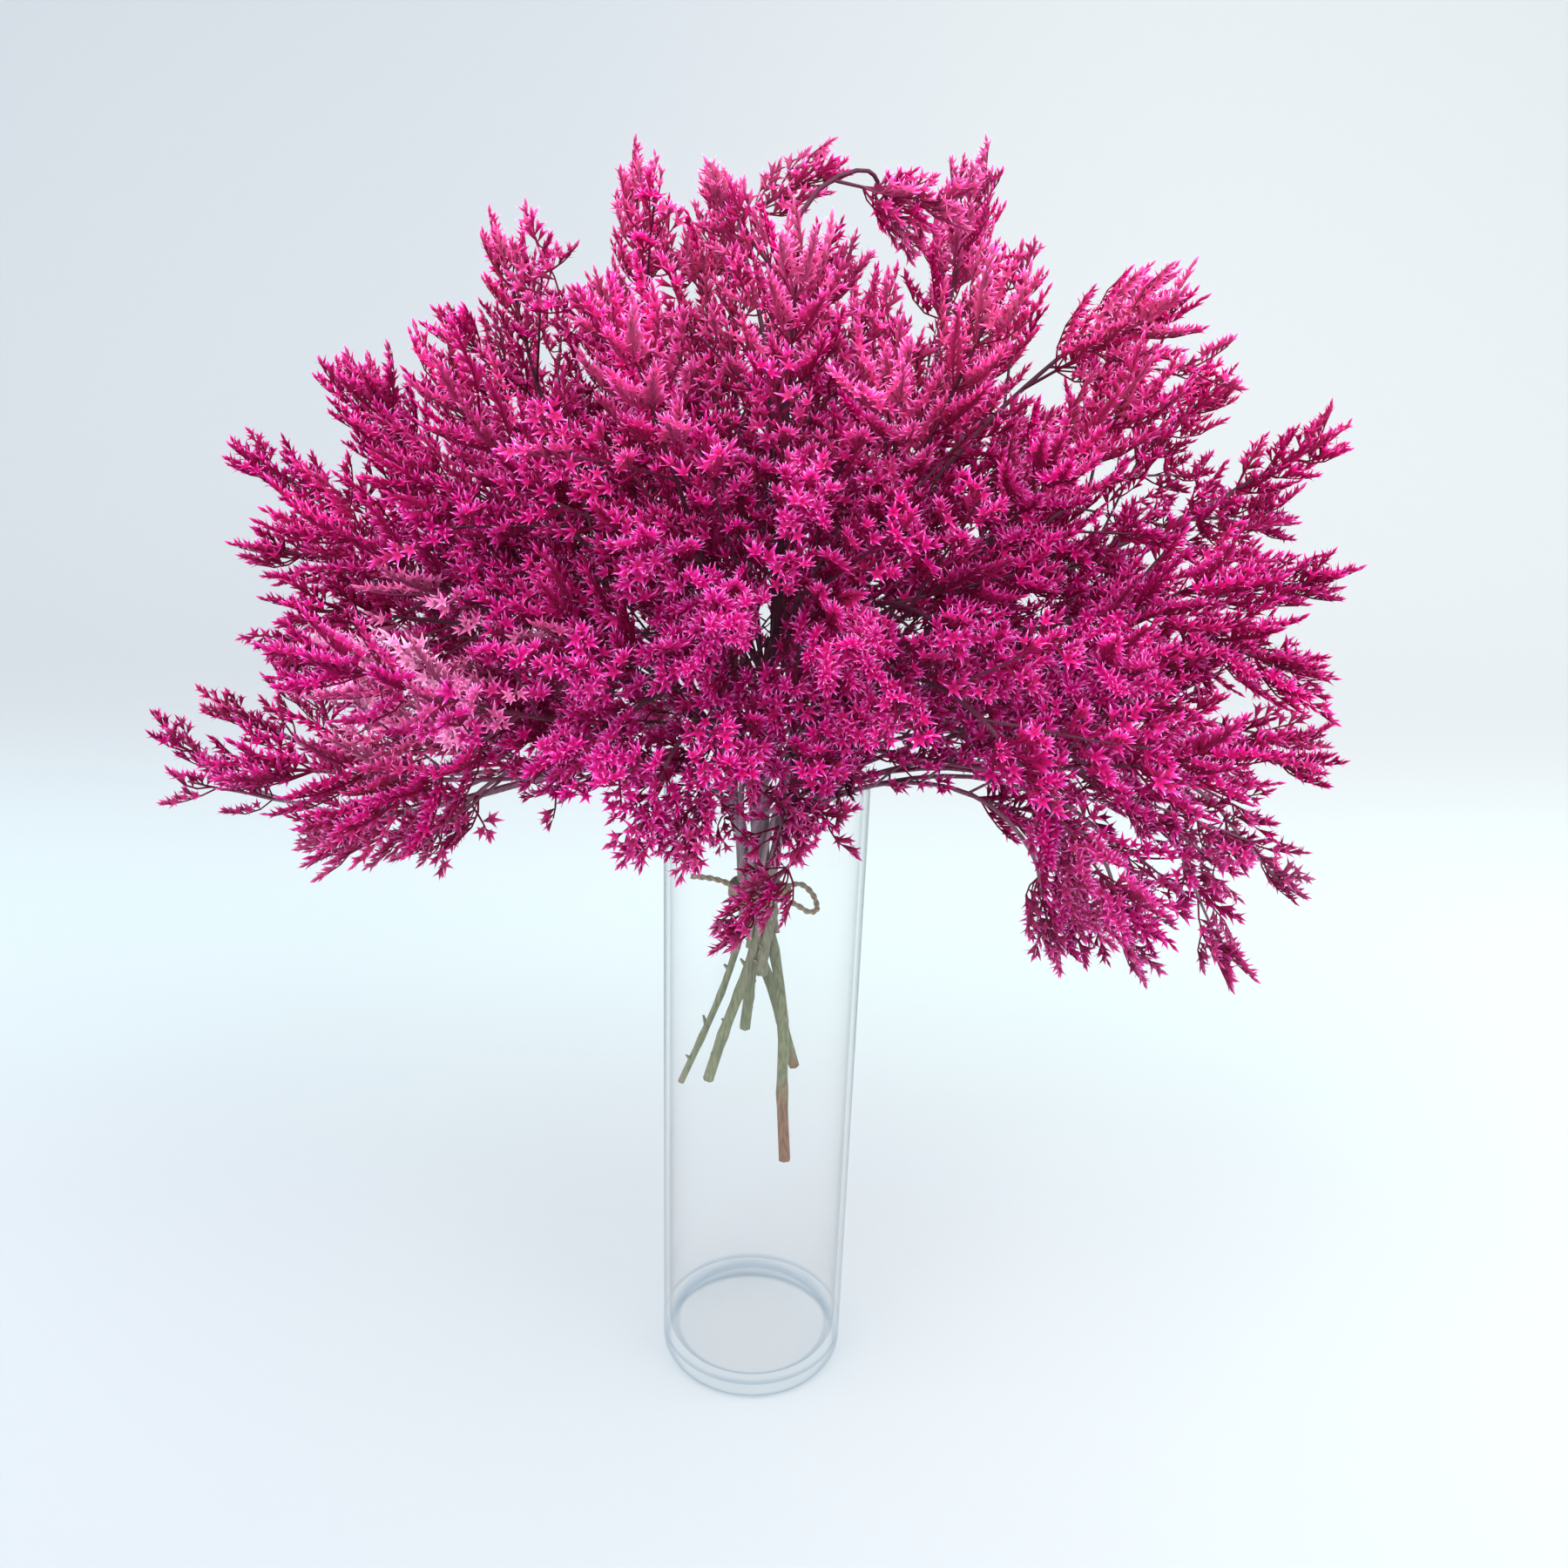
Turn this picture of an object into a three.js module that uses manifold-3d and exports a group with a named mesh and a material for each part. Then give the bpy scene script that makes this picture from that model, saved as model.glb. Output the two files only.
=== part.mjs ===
// A bunch of dried, dyed statice: six branching stems tied with jute twine, in a glass cylinder vase.
// Millimetres, +Z up. The origin is the middle of the vase's foot, on the surface that it stands on.
// Azimuths are in degrees from +X towards +Y, heights are above the origin, and -Y is the front.
import * as THREE from "three";
import { mergeVertices } from "three/addons/utils/BufferGeometryUtils.js";
import Module from "manifold-3d";

const wasm = await Module();
wasm.setup();

// ---- Driving dimensions ----

const vase = { height: 300, radius: 42.5, wall: 2.6, floor: 9, heel: 4, innerHeel: 7, facets: 40 };

// The stems stand in a ring round a middle one where they are tied, and the bunch leans to -X there.
const tie = { height: 246, ringRadius: 6.3, stemRadius: 2.6, swirl: 36, untwist: 1.6, shift: -3 };
const twine = { radius: 1.3, turns: 3, gap: 0.9, facets: 16, sides: 5 };
const tail = { reach: 17, rise: 8, azimuth: 190 };
const bow = { reach: 26, drop: 6, width: 12, azimuth: 350 };

// Each stem has a sector of the crown, by its middle azimuth, and a cut end that hangs in the vase.
const stems = [
  { name: "statice_stem_crown", sector: null, cut: { radius: 9, azimuth: 140, height: 173 }, butt: 2.6 },
  { name: "statice_stem_left", sector: 198, cut: { radius: 21, azimuth: 41, height: 148 }, butt: 2.6 },
  { name: "statice_stem_front", sector: 270, cut: { radius: 35, azimuth: 178, height: 146 }, butt: 1.7 },
  { name: "statice_stem_right", sector: 342, cut: { radius: 26, azimuth: 212, height: 158 }, butt: 2.4 },
  { name: "statice_stem_back_right", sector: 54, cut: { radius: 13, azimuth: 270, height: 212 }, butt: 2.6 },
  { name: "statice_stem_back_left", sector: 126, cut: { radius: 22, azimuth: 306, height: 119 }, butt: 2.7 },
];
const sector = { half: 36, edge: 3 };
const crownRadius = 72; // branches that end nearer to the axis than this grow from the crown stem
const stemTop = { height: 338, lean: 20, bend: 1.6, radius: 1.6 };
// Below the tie a stem bends out to its cut end by a power of the way down.
const stemRod = { spread: 1.5, sides: 6, stepsBelow: 4, stepsAbove: 4 };

// The branches that give the bunch its outline: azimuth, distance from the axis and height of the far end,
// the pitch of the far end above the horizontal, the size of its plume as a share of a full one,
// and for a plume that points aside, its turn from straight out.
const outline = [
  [4, 232, 312, -14, 0.65],
  [352, 214, 268, -46, 0.65],
  [342, 192, 248, -62, 0.7],
  [341, 158, 238, -70, 0.65],
  [336, 127, 246, -74, 0.55],
  [338, 164, 270, -56, 0.6],
  [342, 164, 300, -40, 0.6],
  [354, 212, 398, 14, 0.7],
  [10, 226, 440, 30, 0.7],
  [23, 202, 452, 36, 0.75],
  [21, 160, 494, 35, 0.7],
  [29, 82, 536, 80, 0.7],
  [180, 247, 312, 38, 0.55],
  [174, 237, 316, 26, 0.6],
  [186, 187, 272, -16, 0.55],
  [194, 145, 276, -40, 0.55],
  [171, 218, 420, 32, 0.65],
  [177, 208, 386, 8, 0.7],
  [186, 187, 372, 6, 0.7],
  [168, 178, 453, 60, 0.65],
  [161, 150, 448, 50, 0.75],
  [155, 123, 503, 74, 0.7],
  [139, 90, 478, 70, 0.75],
  [236, 134, 350, -8, 0.7],
  [248, 122, 318, -36, 0.6],
  [253, 100, 306, -40, 0.5],
  [259, 73, 262, -50, 0.56, -62],
  [281, 73, 306, -50, 0.5],
  [268, 84, 332, -36, 0.75],
  [284, 128, 392, -4, 0.8],
  [262, 126, 404, 4, 0.8],
  [288, 112, 361, -14, 0.65],
  [310, 134, 380, -12, 0.7],
  [306, 166, 356, -24, 0.7],
  [247, 118, 426, 20, 0.8],
  [277, 104, 448, 30, 0.8],
  [151, 64, 532, 86, 0.7],
  [140, 42, 508, 80, 0.9],
  [22, 54, 504, -50, 0.5],
  [64, 48, 532, 28, 0.55, -64],
  [110, 76, 522, 72, 0.8],
];

// The rest of the crown is filled evenly over a dome, from its top down to an angle off the vertical.
const dome = { height: 300, reach: 212, rise: 232, count: 60, lowest: 95, apart: 15, outward: 0.95 };
// Side plumes stay within a share of the way to the dome, and above its underside
// or a little below their branch's tip.
const bounds = { share: 1.02, underside: 268, droop: 12 };
// In front the crown stops higher, and higher still to the right: the vase's mouth stays open to view.
const frontEdge = { height: 291, slope: 0.52, tilt: 0.25, tiltReach: 50, halfWidth: 120 };

const branch = { radius: 1.3, tipRadius: 1, steps: 5, lowStart: 262, highStart: 330, rimGap: 0.8 };
// A branch to a low end starts low on its stem, and one to a high end starts high.
const endHeights = { low: 220, high: 500 };
// A branch's arch, in shares of its span. It is lifted by steps until it clears the rim.
const arch = { lean: 0.1, highLean: 0.1, arrive: 0.38, lift: 0.3, liftStep: 0.04, lifts: 25 };
const turnDone = 0.55; // share of a branch within which it turns from its stem's azimuth to its own

// A plume is a side shoot with its spikes of florets. Its core has three corners to a ring,
// and each face between its rings is raised to a spike that leans towards the plume's point.
const plume = { length: 84, radius: 24, girth: 0.8, core: 4, sunk: 0.4 };
const plumeRings = [
  { share: 0.2, swell: 1, reach: 1 },
  { share: 0.41, swell: 0.95, reach: 0.9 },
  { share: 0.62, swell: 0.75, reach: 0.66 },
  { share: 0.83, swell: 0.4, reach: 0 },
];
const spike = { lean: 0.22, leanSpread: 0.08, shortest: 0.75 };
// Side plumes leave the branch at these shares of its length, turned round it from branch to branch.
const sidePlumes = { stations: [0.92, 0.68], splay: 42, branchTurn: 107, tries: 14 };
const sideSizes = { shrink: 0.06, smallest: 0.72, overTip: 1.3 };
const tipSizes = [1, 0.88, 0.76, 0.64]; // tried in turn until the plume at a branch's end fits
const nodeGap = 0.6; // between a plume and another stem's
const vaseGap = 1; // between a plume and the vase
// Shares of their radii that two plumes of one stem, and the points of two plumes of one branch, keep apart.
const crowding = { sameStem: 0.78, sameBranch: 0.85 };

const golden = 137.508; // the golden angle, which spreads turns evenly

// ---- Small helpers ----

const radians = THREE.MathUtils.degToRad;
const degrees = THREE.MathUtils.radToDeg;
const lerp = THREE.MathUtils.lerp;
const clamp = THREE.MathUtils.clamp;
const up = new THREE.Vector3(0, 0, 1);

function at(radius, azimuth, height) {
  return new THREE.Vector3(radius * Math.cos(radians(azimuth)), radius * Math.sin(radians(azimuth)), height);
}

// The turn from one azimuth to another, from -180 to 180.
function turnFrom(a, b) {
  return ((((b - a) % 360) + 540) % 360) - 180;
}

// A seeded draw from 0 to 1.
function makeDraw(seed) {
  let state = seed;
  return () => {
    state = (Math.imul(state, 1664525) + 1013904223) >>> 0;
    return state / 4294967296;
  };
}

// ---- Solids and meshes ----

function solidOf(geometry) {
  const bare = new THREE.BufferGeometry();
  bare.setAttribute("position", geometry.getAttribute("position"));
  bare.setIndex(geometry.getIndex());
  const merged = mergeVertices(bare, 1e-4);
  return new wasm.Manifold(
    new wasm.Mesh({
      numProp: 3,
      vertProperties: merged.attributes.position.array,
      triVerts: new Uint32Array(merged.index.array),
    }),
  );
}

function geometryOf(solid) {
  const mesh = solid.getMesh();
  const geometry = new THREE.BufferGeometry();
  geometry.setAttribute("position", new THREE.BufferAttribute(mesh.vertProperties, 3));
  geometry.setIndex(new THREE.BufferAttribute(mesh.triVerts, 1));
  geometry.computeVertexNormals();
  return geometry;
}

// Joins neighbours in pairs until one solid is left.
function fuse(solids) {
  let rest = solids;
  while (rest.length > 1) {
    const next = [];
    for (let i = 0; i < rest.length; i += 2)
      next.push(i + 1 < rest.length ? rest[i].add(rest[i + 1]) : rest[i]);
    rest = next;
  }
  return rest[0];
}

// A solid without the small hollows that crossing lobes seal off: its outer skin alone.
function filled(solid) {
  return solid.decompose().reduce((most, body) => (body.volume() > most.volume() ? body : most));
}

function named(name, solid, material) {
  const mesh = new THREE.Mesh(geometryOf(filled(solid)), material);
  mesh.name = name;
  return mesh;
}

// A tapered, closed rod along a line of points.
function rod(points, startRadius, endRadius, sides) {
  const steps = points.length - 1;
  const geometry = new THREE.CylinderGeometry(endRadius, startRadius, 1, sides, steps);
  const frames = new THREE.CatmullRomCurve3(points).computeFrenetFrames(steps);
  const position = geometry.getAttribute("position");
  for (let i = 0; i < position.count; i++) {
    const step = Math.round((position.getY(i) + 0.5) * steps);
    const place = points[step]
      .clone()
      .addScaledVector(frames.normals[step], position.getX(i))
      .addScaledVector(frames.binormals[step], -position.getZ(i));
    position.setXYZ(i, place.x, place.y, place.z);
  }
  return solidOf(geometry);
}

// A closed skin along a spine of rings, three corners to a ring, turned a sixth at each, and two end points.
// Where a ring has a reach, each face up to the next ring is raised to a spike of about that reach.
function skin(spine, draw) {
  let side = null;
  const rings = spine.map((ring, k) => {
    const before = spine[Math.max(0, k - 1)].centre;
    const along = spine[Math.min(spine.length - 1, k + 1)].centre.clone().sub(before).normalize();
    const across = side ?? (Math.abs(along.z) > 0.9 ? new THREE.Vector3(1, 0, 0) : up);
    side = across.clone().addScaledVector(along, -across.dot(along)).normalize();
    return { ...ring, along, side, rise: new THREE.Vector3().crossVectors(along, side) };
  });
  const spin = draw() * Math.PI;
  const out = (ring, angle, reach) =>
    ring.centre
      .clone()
      .addScaledVector(ring.side, reach * Math.cos(radians(angle) + spin))
      .addScaledVector(ring.rise, reach * Math.sin(radians(angle) + spin));
  const corner = (k, i) => out(rings[k], 120 * i + 60 * k, rings[k].radius);
  const faces = [];
  const last = rings.length - 1;
  for (let i = 0; i < 3; i++) {
    faces.push([corner(1, i + 1), corner(1, i), rings[0].centre]);
    faces.push([corner(last - 1, i), corner(last - 1, i + 1), rings[last].centre]);
  }
  for (let k = 1; k < last - 1; k++)
    for (let i = 0; i < 3; i++) {
      const pair = [
        [corner(k, i), corner(k, i + 1), corner(k + 1, i)],
        [corner(k + 1, i), corner(k, i + 1), corner(k + 1, i + 1)],
      ];
      pair.forEach(([a, b, c], j) => {
        if (!rings[k].reach) {
          faces.push([a, b, c]);
          return;
        }
        const middle = rings[k].centre.clone().lerp(rings[k + 1].centre, 0.5);
        const reach = rings[k].reach * lerp(spike.shortest, 1, draw());
        const lean = rings[k].lean + rings[k].leanSpread * draw();
        const tip = out({ ...rings[k], centre: middle }, 120 * i + 60 * (k + 1 + j), reach);
        tip.addScaledVector(rings[k].along, lean);
        faces.push([a, b, tip], [b, c, tip], [c, a, tip]);
      });
    }
  const geometry = new THREE.BufferGeometry();
  const position = faces.flat().flatMap((p) => [p.x, p.y, p.z]);
  geometry.setAttribute("position", new THREE.Float32BufferAttribute(position, 3));
  return solidOf(geometry);
}

// ---- The skeleton: stems, branches and plumes as lines ----

// A stem's axis at a height: it spirals through the tie, to its cut end below and its sector above.
function stemPoint(stem, height) {
  const below = Math.max(0, (tie.height - height) / (tie.height - stem.cut.height));
  const above = Math.max(0, (height - tie.height) / (stemTop.height - tie.height));
  const central = stem.sector === null;
  const place = central ? stem.cut.azimuth : stem.sector - tie.swirl;
  const swing = (place - stem.cut.azimuth + 360) % 360;
  const azimuth = place - swing * (1 - (1 - below) ** 2) + tie.swirl * Math.min(1, tie.untwist * above);
  const lean = central ? 0 : stemTop.lean * above ** stemTop.bend;
  const radius = lerp(central ? 0 : tie.ringRadius, stem.cut.radius, below ** stemRod.spread) + lean;
  const point = at(radius, azimuth, height);
  point.x += tie.shift * (1 - below) * (1 - above);
  return point;
}

function stemPoints(stem) {
  const points = [];
  for (let i = 0; i < stemRod.stepsBelow; i++)
    points.push(stemPoint(stem, lerp(stem.cut.height, tie.height, i / stemRod.stepsBelow)));
  for (let i = 0; i <= stemRod.stepsAbove; i++)
    points.push(stemPoint(stem, lerp(tie.height, stemTop.height, i / stemRod.stepsAbove)));
  return points;
}

// How low the crown may come at a place in front.
function lowestAt(x, y) {
  const aside = clamp(x, -frontEdge.tiltReach, frontEdge.tiltReach);
  return frontEdge.height - frontEdge.slope * y + frontEdge.tilt * aside;
}

// The far ends of all branches: the outline's, and even ones on the dome where the outline leaves room.
function branchEnds() {
  const ends = outline.map(([azimuth, radius, height, pitch, size, sweep = 0]) => {
    return { azimuth, radius, height, pitch, size, sweep };
  });
  const way = (end) => at(end.radius, end.azimuth, end.height - dome.height).normalize();
  const ways = ends.map(way);
  for (let i = 0; i < dome.count; i++) {
    const cosine = 1 - ((i + 0.5) / dome.count) * (1 - Math.cos(radians(dome.lowest)));
    const polar = Math.acos(cosine);
    const azimuth = (i * golden) % 360;
    const radius = dome.reach * Math.sin(polar);
    const { x, y } = at(radius, azimuth, 0);
    const height = Math.max(dome.height + dome.rise * cosine, lowestAt(x, y));
    const end = { azimuth, radius, height, pitch: 90 - dome.outward * degrees(polar), size: 1, sweep: 0 };
    if (ways.every((w) => w.angleTo(way(end)) >= radians(dome.apart))) ends.push(end);
  }
  return ends;
}

// The stem that a branch grows from.
function stemFor(end) {
  if (end.radius < crownRadius) return stems[0];
  return stems.find(({ sector: middle }) => {
    return middle !== null && Math.abs(turnFrom(middle, end.azimuth)) <= sector.half;
  });
}

// Whether a line's straight steps all pass clear of the vase's wall and rim.
function clearsRim(track) {
  return track.slice(1).every((next, i) =>
    [0.2, 0.4, 0.6, 0.8, 1].every((share) => {
      const p = track[i].clone().lerp(next, share);
      const over = p.y > vase.height + branch.radius + branch.rimGap;
      const within = p.x < vase.radius - vase.wall - branch.radius - branch.rimGap;
      return over || within || p.x > vase.radius + branch.radius + branch.rimGap;
    }),
  );
}

// A branch leaves its stem upwards, passes over the rim and arrives where the plume at its end begins.
function growBranch(end, size) {
  const stem = stemFor(end);
  const high = clamp((end.height - endHeights.low) / (endHeights.high - endHeights.low), 0, 1);
  const start = stemPoint(stem, lerp(branch.lowStart, branch.highStart, high));
  const central = stem.sector === null;
  const startAzimuth = central ? end.azimuth : degrees(Math.atan2(start.y, start.x));
  const most = sector.half - sector.edge;
  const inSector = clamp(turnFrom(stem.sector, end.azimuth), -most, most);
  const tipAzimuth = central ? end.azimuth : stem.sector + inSector;
  const arrival = new THREE.Vector2(Math.cos(radians(end.pitch)), Math.sin(radians(end.pitch)));
  const way = at(arrival.x, tipAzimuth + end.sweep, arrival.y);
  const base = at(end.radius, tipAzimuth, end.height).addScaledVector(way, -plume.length * size);
  const outward = base.dot(at(1, tipAzimuth, 0));
  const aside = Math.atan(base.dot(at(1, tipAzimuth + 90, 0)) / outward);
  const azimuth = tipAzimuth + degrees(aside);
  const from = new THREE.Vector2(Math.hypot(start.x, start.y), start.z);
  const to = new THREE.Vector2(outward / Math.cos(aside), base.z);
  const span = from.distanceTo(to);
  let track = null;
  for (let i = 0; !track && i < arch.lifts; i++) {
    const rise = new THREE.Vector2(arch.lean + arch.highLean * high, 1);
    const leave = from.clone().addScaledVector(rise, span * (arch.lift + arch.liftStep * i));
    const arrive = to.clone().addScaledVector(arrival, -arch.arrive * span);
    const tried = new THREE.CubicBezierCurve(from, leave, arrive, to).getSpacedPoints(branch.steps);
    if (clearsRim(tried)) track = tried;
  }
  const points = track.map((p, i) => {
    const share = THREE.MathUtils.smoothstep(i / branch.steps, 0, turnDone);
    return at(p.x, startAzimuth + turnFrom(startAzimuth, azimuth) * share, p.y);
  });
  points[0] = start;
  return { stem, points, way, radius: branch.radius };
}

// The least distance between two line segments.
function segmentGap(a, b, c, d) {
  const u = b.clone().sub(a);
  const v = d.clone().sub(c);
  const w = a.clone().sub(c);
  const uu = u.dot(u);
  const uv = u.dot(v);
  const vv = v.dot(v);
  const uw = u.dot(w);
  const vw = v.dot(w);
  const den = uu * vv - uv * uv;
  let s = den < 1e-9 ? 0 : clamp((uv * vw - vv * uw) / den, 0, 1);
  let t = (uv * s + vw) / vv;
  if (t < 0 || t > 1) {
    t = clamp(t, 0, 1);
    s = clamp((uv * t - uw) / uu, 0, 1);
  }
  return w.addScaledVector(u, s).addScaledVector(v, -t).length();
}

// The least distance from a line of points to a straight stretch.
function lineGap(points, a, b) {
  return Math.min(...points.slice(1).map((next, i) => segmentGap(points[i], next, a, b)));
}

// Whether a plume keeps clear of the vase and of other stems, and apart from its own stem's plumes.
function plumeFits(shoot, lines, shoots) {
  for (const share of [0.25, 0.5, 0.75, 1]) {
    const p = shoot.base.clone().lerp(shoot.end, share);
    const reach = shoot.radius + vaseGap;
    if (Math.hypot(p.x, p.y) < vase.radius + reach && p.z < vase.height + reach) return false;
  }
  for (const line of lines) {
    const least = shoot.radius + line.radius + nodeGap;
    if (line.stem !== shoot.stem && lineGap(line.points, shoot.base, shoot.end) < least) return false;
  }
  return shoots.every((other) => {
    const gap = segmentGap(shoot.base, shoot.end, other.base, other.end);
    const sum = plume.girth * (shoot.radius + other.radius);
    if (other.stem !== shoot.stem) return gap >= sum + nodeGap;
    if (other.branch !== shoot.branch) return gap >= sum * crowding.sameStem;
    return shoot.end.distanceTo(other.end) >= sum * crowding.sameBranch;
  });
}

function branchFits(grown, lines, shoots) {
  const others = lines.filter((line) => line.stem !== grown.stem);
  const crossing = others.some((line) => {
    const least = grown.radius + line.radius + nodeGap;
    return grown.points.slice(1).some((next, i) => lineGap(line.points, grown.points[i], next) < least);
  });
  const brushed = shoots.some((shoot) => {
    const gap = lineGap(grown.points, shoot.base, shoot.end);
    return shoot.stem !== grown.stem && gap < shoot.radius + nodeGap;
  });
  return !crossing && !brushed;
}

function makeShoot(grown, base, way, size, atTip) {
  const length = plume.length * size;
  const end = base.clone().addScaledVector(way, length);
  const radius = plume.radius * size;
  return { stem: grown.stem, branch: grown, base, way, end, length, radius, size, atTip };
}

// Grows each branch with the plume at its end, a smaller one where a full one doesn't fit.
function growTips(lines, shoots) {
  return branchEnds().map((end) => {
    let grown, tip;
    for (const size of tipSizes) {
      grown = growBranch(end, size * end.size);
      tip = makeShoot(grown, grown.points.at(-1), grown.way, size * end.size, true);
      if (branchFits(grown, lines, shoots) && plumeFits(tip, lines, shoots)) break;
    }
    lines.push(grown);
    shoots.push(tip);
    return grown;
  });
}

// How far out a point is, as a share of the way to the dome's surface.
function domeShare(point) {
  return Math.hypot(point.x / dome.reach, point.y / dome.reach, (point.z - dome.height) / dome.rise);
}

// Whether a side plume's point stays inside the crown's outline and out of the view of the vase's mouth.
function keepsOutline(shoot, tip) {
  const { x, y, z } = shoot.end;
  if (domeShare(shoot.end) > Math.max(bounds.share, domeShare(tip.end))) return false;
  if (z < Math.min(bounds.underside, tip.end.z - bounds.droop)) return false;
  return Math.abs(x) > frontEdge.halfWidth || z > lowestAt(x, y);
}

// Adds plumes along the outer part of each branch, each turned round the branch until it fits.
function growSides(branches, lines, shoots) {
  sidePlumes.stations.forEach((station, row) => {
    branches.forEach((grown, order) => {
      const tip = shoots[order];
      const step = Math.floor(station * branch.steps);
      const base = grown.points[step].clone().lerp(grown.points[step + 1], station * branch.steps - step);
      const along = grown.points[step + 1].clone().sub(grown.points[step]).normalize();
      const side = new THREE.Vector3().crossVectors(along, up).normalize();
      for (let turn = 0; turn < 2 * sidePlumes.tries; turn++) {
        const second = turn >= sidePlumes.tries;
        const full = second ? sideSizes.smallest : 1 - sideSizes.shrink * row;
        const size = Math.min(full, sideSizes.overTip * tip.size);
        const tried = ((turn + (second ? 0.5 : 0)) * 360) / sidePlumes.tries;
        const around = order * sidePlumes.branchTurn + row * golden + tried;
        const out = side.clone().applyAxisAngle(along, radians(around));
        const way = along.clone().multiplyScalar(Math.cos(radians(sidePlumes.splay)));
        way.addScaledVector(out, Math.sin(radians(sidePlumes.splay)));
        const shoot = makeShoot(grown, base, way, size, false);
        if (!keepsOutline(shoot, tip) || !plumeFits(shoot, lines, shoots)) continue;
        shoots.push(shoot);
        break;
      }
    });
  });
}

// ---- Forms ----

// The rings of a plume's core, from the first above its stalk to its point.
function plumeSpine(shoot) {
  const place = (share) => shoot.base.clone().addScaledVector(shoot.way, shoot.length * share);
  const rings = plumeRings.map((ring) => ({
    centre: place(ring.share),
    radius: plume.core * shoot.size * ring.swell,
    reach: plume.radius * shoot.size * ring.reach,
    lean: spike.lean * shoot.length,
    leanSpread: spike.leanSpread * shoot.length,
  }));
  return [...rings, { centre: place(1), radius: 0 }];
}

function sidePlumeSolid(shoot, draw) {
  const root = shoot.base.clone().addScaledVector(shoot.way, -plume.sunk);
  return skin([{ centre: root, radius: 0 }, ...plumeSpine(shoot)], draw);
}

// A branch and the plume at its end are one skin, rooted in the stem.
function branchSolid(grown, tip, draw) {
  const points = grown.points;
  const first = points[1].clone().sub(points[0]).normalize();
  const rings = points.slice(1).map((centre, i) => ({
    centre,
    radius: lerp(branch.radius, branch.tipRadius, (i + 1) / points.length),
  }));
  const root = [
    { centre: points[0].clone().addScaledVector(first, -branch.radius), radius: 0 },
    { centre: points[0].clone().addScaledVector(first, 2 * branch.radius), radius: branch.radius },
  ];
  return skin([...root, ...rings, ...plumeSpine(tip)], draw);
}

function stemMesh(stem, branches, shoots, material) {
  const draw = makeDraw(stems.indexOf(stem) + 11);
  const solids = [rod(stemPoints(stem), stem.butt, stemTop.radius, stemRod.sides)];
  for (const grown of branches.filter((b) => b.stem === stem)) {
    const own = shoots.filter((shoot) => shoot.branch === grown);
    const solidFor = (shoot) => (shoot.atTip ? branchSolid(grown, shoot, draw) : sidePlumeSolid(shoot, draw));
    solids.push(fuse(own.map(solidFor)));
  }
  return named(stem.name, fuse(solids), material);
}

function arc(x, y, radius, from, to, steps) {
  return Array.from({ length: steps + 1 }, (_, i) => {
    const turn = radians(lerp(from, to, i / steps));
    return new THREE.Vector2(x + radius * Math.cos(turn), y + radius * Math.sin(turn));
  });
}

// A lathed solid about +Z: a profile of radius and height, run anticlockwise with the axis on its left.
function lathe(profile, facets) {
  return solidOf(new THREE.LatheGeometry(profile, facets).rotateX(Math.PI / 2));
}

function vaseMesh(material) {
  const inner = vase.radius - vase.wall;
  const lip = vase.wall / 2;
  const profile = [
    new THREE.Vector2(0, 0),
    ...arc(vase.radius - vase.heel, vase.heel, vase.heel, -90, 0, 2),
    ...arc(vase.radius - lip, vase.height - lip, lip, 0, 180, 3),
    ...arc(inner - vase.innerHeel, vase.floor + vase.innerHeel, vase.innerHeel, 0, -90, 2),
    new THREE.Vector2(0, vase.floor),
  ];
  return named("vase", lathe(profile, vase.facets), material);
}

// Twine wound round the stems, with a knot, a tail and one bow loop, as one solid.
function twineMesh(material) {
  const inner = tie.ringRadius + tie.stemRadius + twine.gap;
  const middle = inner + twine.radius;
  const bottom = -twine.turns * twine.radius;
  const band = [new THREE.Vector2(inner, bottom)];
  for (let i = 0; i < twine.turns; i++)
    band.push(...arc(middle, bottom + (2 * i + 1) * twine.radius, twine.radius, -60, 60, 2));
  band.push(new THREE.Vector2(inner, -bottom), new THREE.Vector2(inner, bottom));
  const tailLine = new THREE.CatmullRomCurve3([
    at(middle, tail.azimuth + 24, tail.rise * 0.3),
    at(middle + 2, tail.azimuth + 8, tail.rise * 0.6),
    at(middle + tail.reach / 2, tail.azimuth + 4, tail.rise * 0.9),
    at(middle + tail.reach, tail.azimuth, tail.rise),
  ]);
  const bowLine = new THREE.CatmullRomCurve3([
    at(middle, bow.azimuth + 14, 1.5),
    at((middle + bow.reach) / 2, bow.azimuth + bow.width, 3),
    at(bow.reach - 2, bow.azimuth + bow.width * 0.6, -bow.drop * 0.2),
    at(bow.reach, bow.azimuth, -bow.drop),
    at(bow.reach - 3, bow.azimuth - bow.width * 0.6, -bow.drop),
    at((middle + bow.reach) / 2, bow.azimuth - bow.width, -bow.drop * 0.5),
    at(middle, bow.azimuth - 14, -1),
  ]);
  const knot = new THREE.SphereGeometry(twine.radius * 2, 7, 5);
  knot.translate(...at(middle + twine.radius, bow.azimuth, 0).toArray());
  const solid = fuse([
    lathe(band, twine.facets),
    rod(tailLine.getSpacedPoints(5), twine.radius, twine.radius * 1.1, twine.sides),
    rod(bowLine.getSpacedPoints(12), twine.radius, twine.radius, twine.sides),
    solidOf(knot),
  ]);
  const mesh = named("twine_tie", solid, material);
  mesh.position.set(tie.shift, 0, tie.height);
  return mesh;
}

// ---- The bunch ----

const clear = { color: 0xdfe9ee, roughness: 0.05, transparent: true, opacity: 0.35 };
const glass = new THREE.MeshStandardMaterial(clear);
const jute = new THREE.MeshStandardMaterial({ color: 0xa58a66, roughness: 0.95 });
const dyed = new THREE.MeshStandardMaterial({ color: 0xb81f74, roughness: 0.85 });

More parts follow.
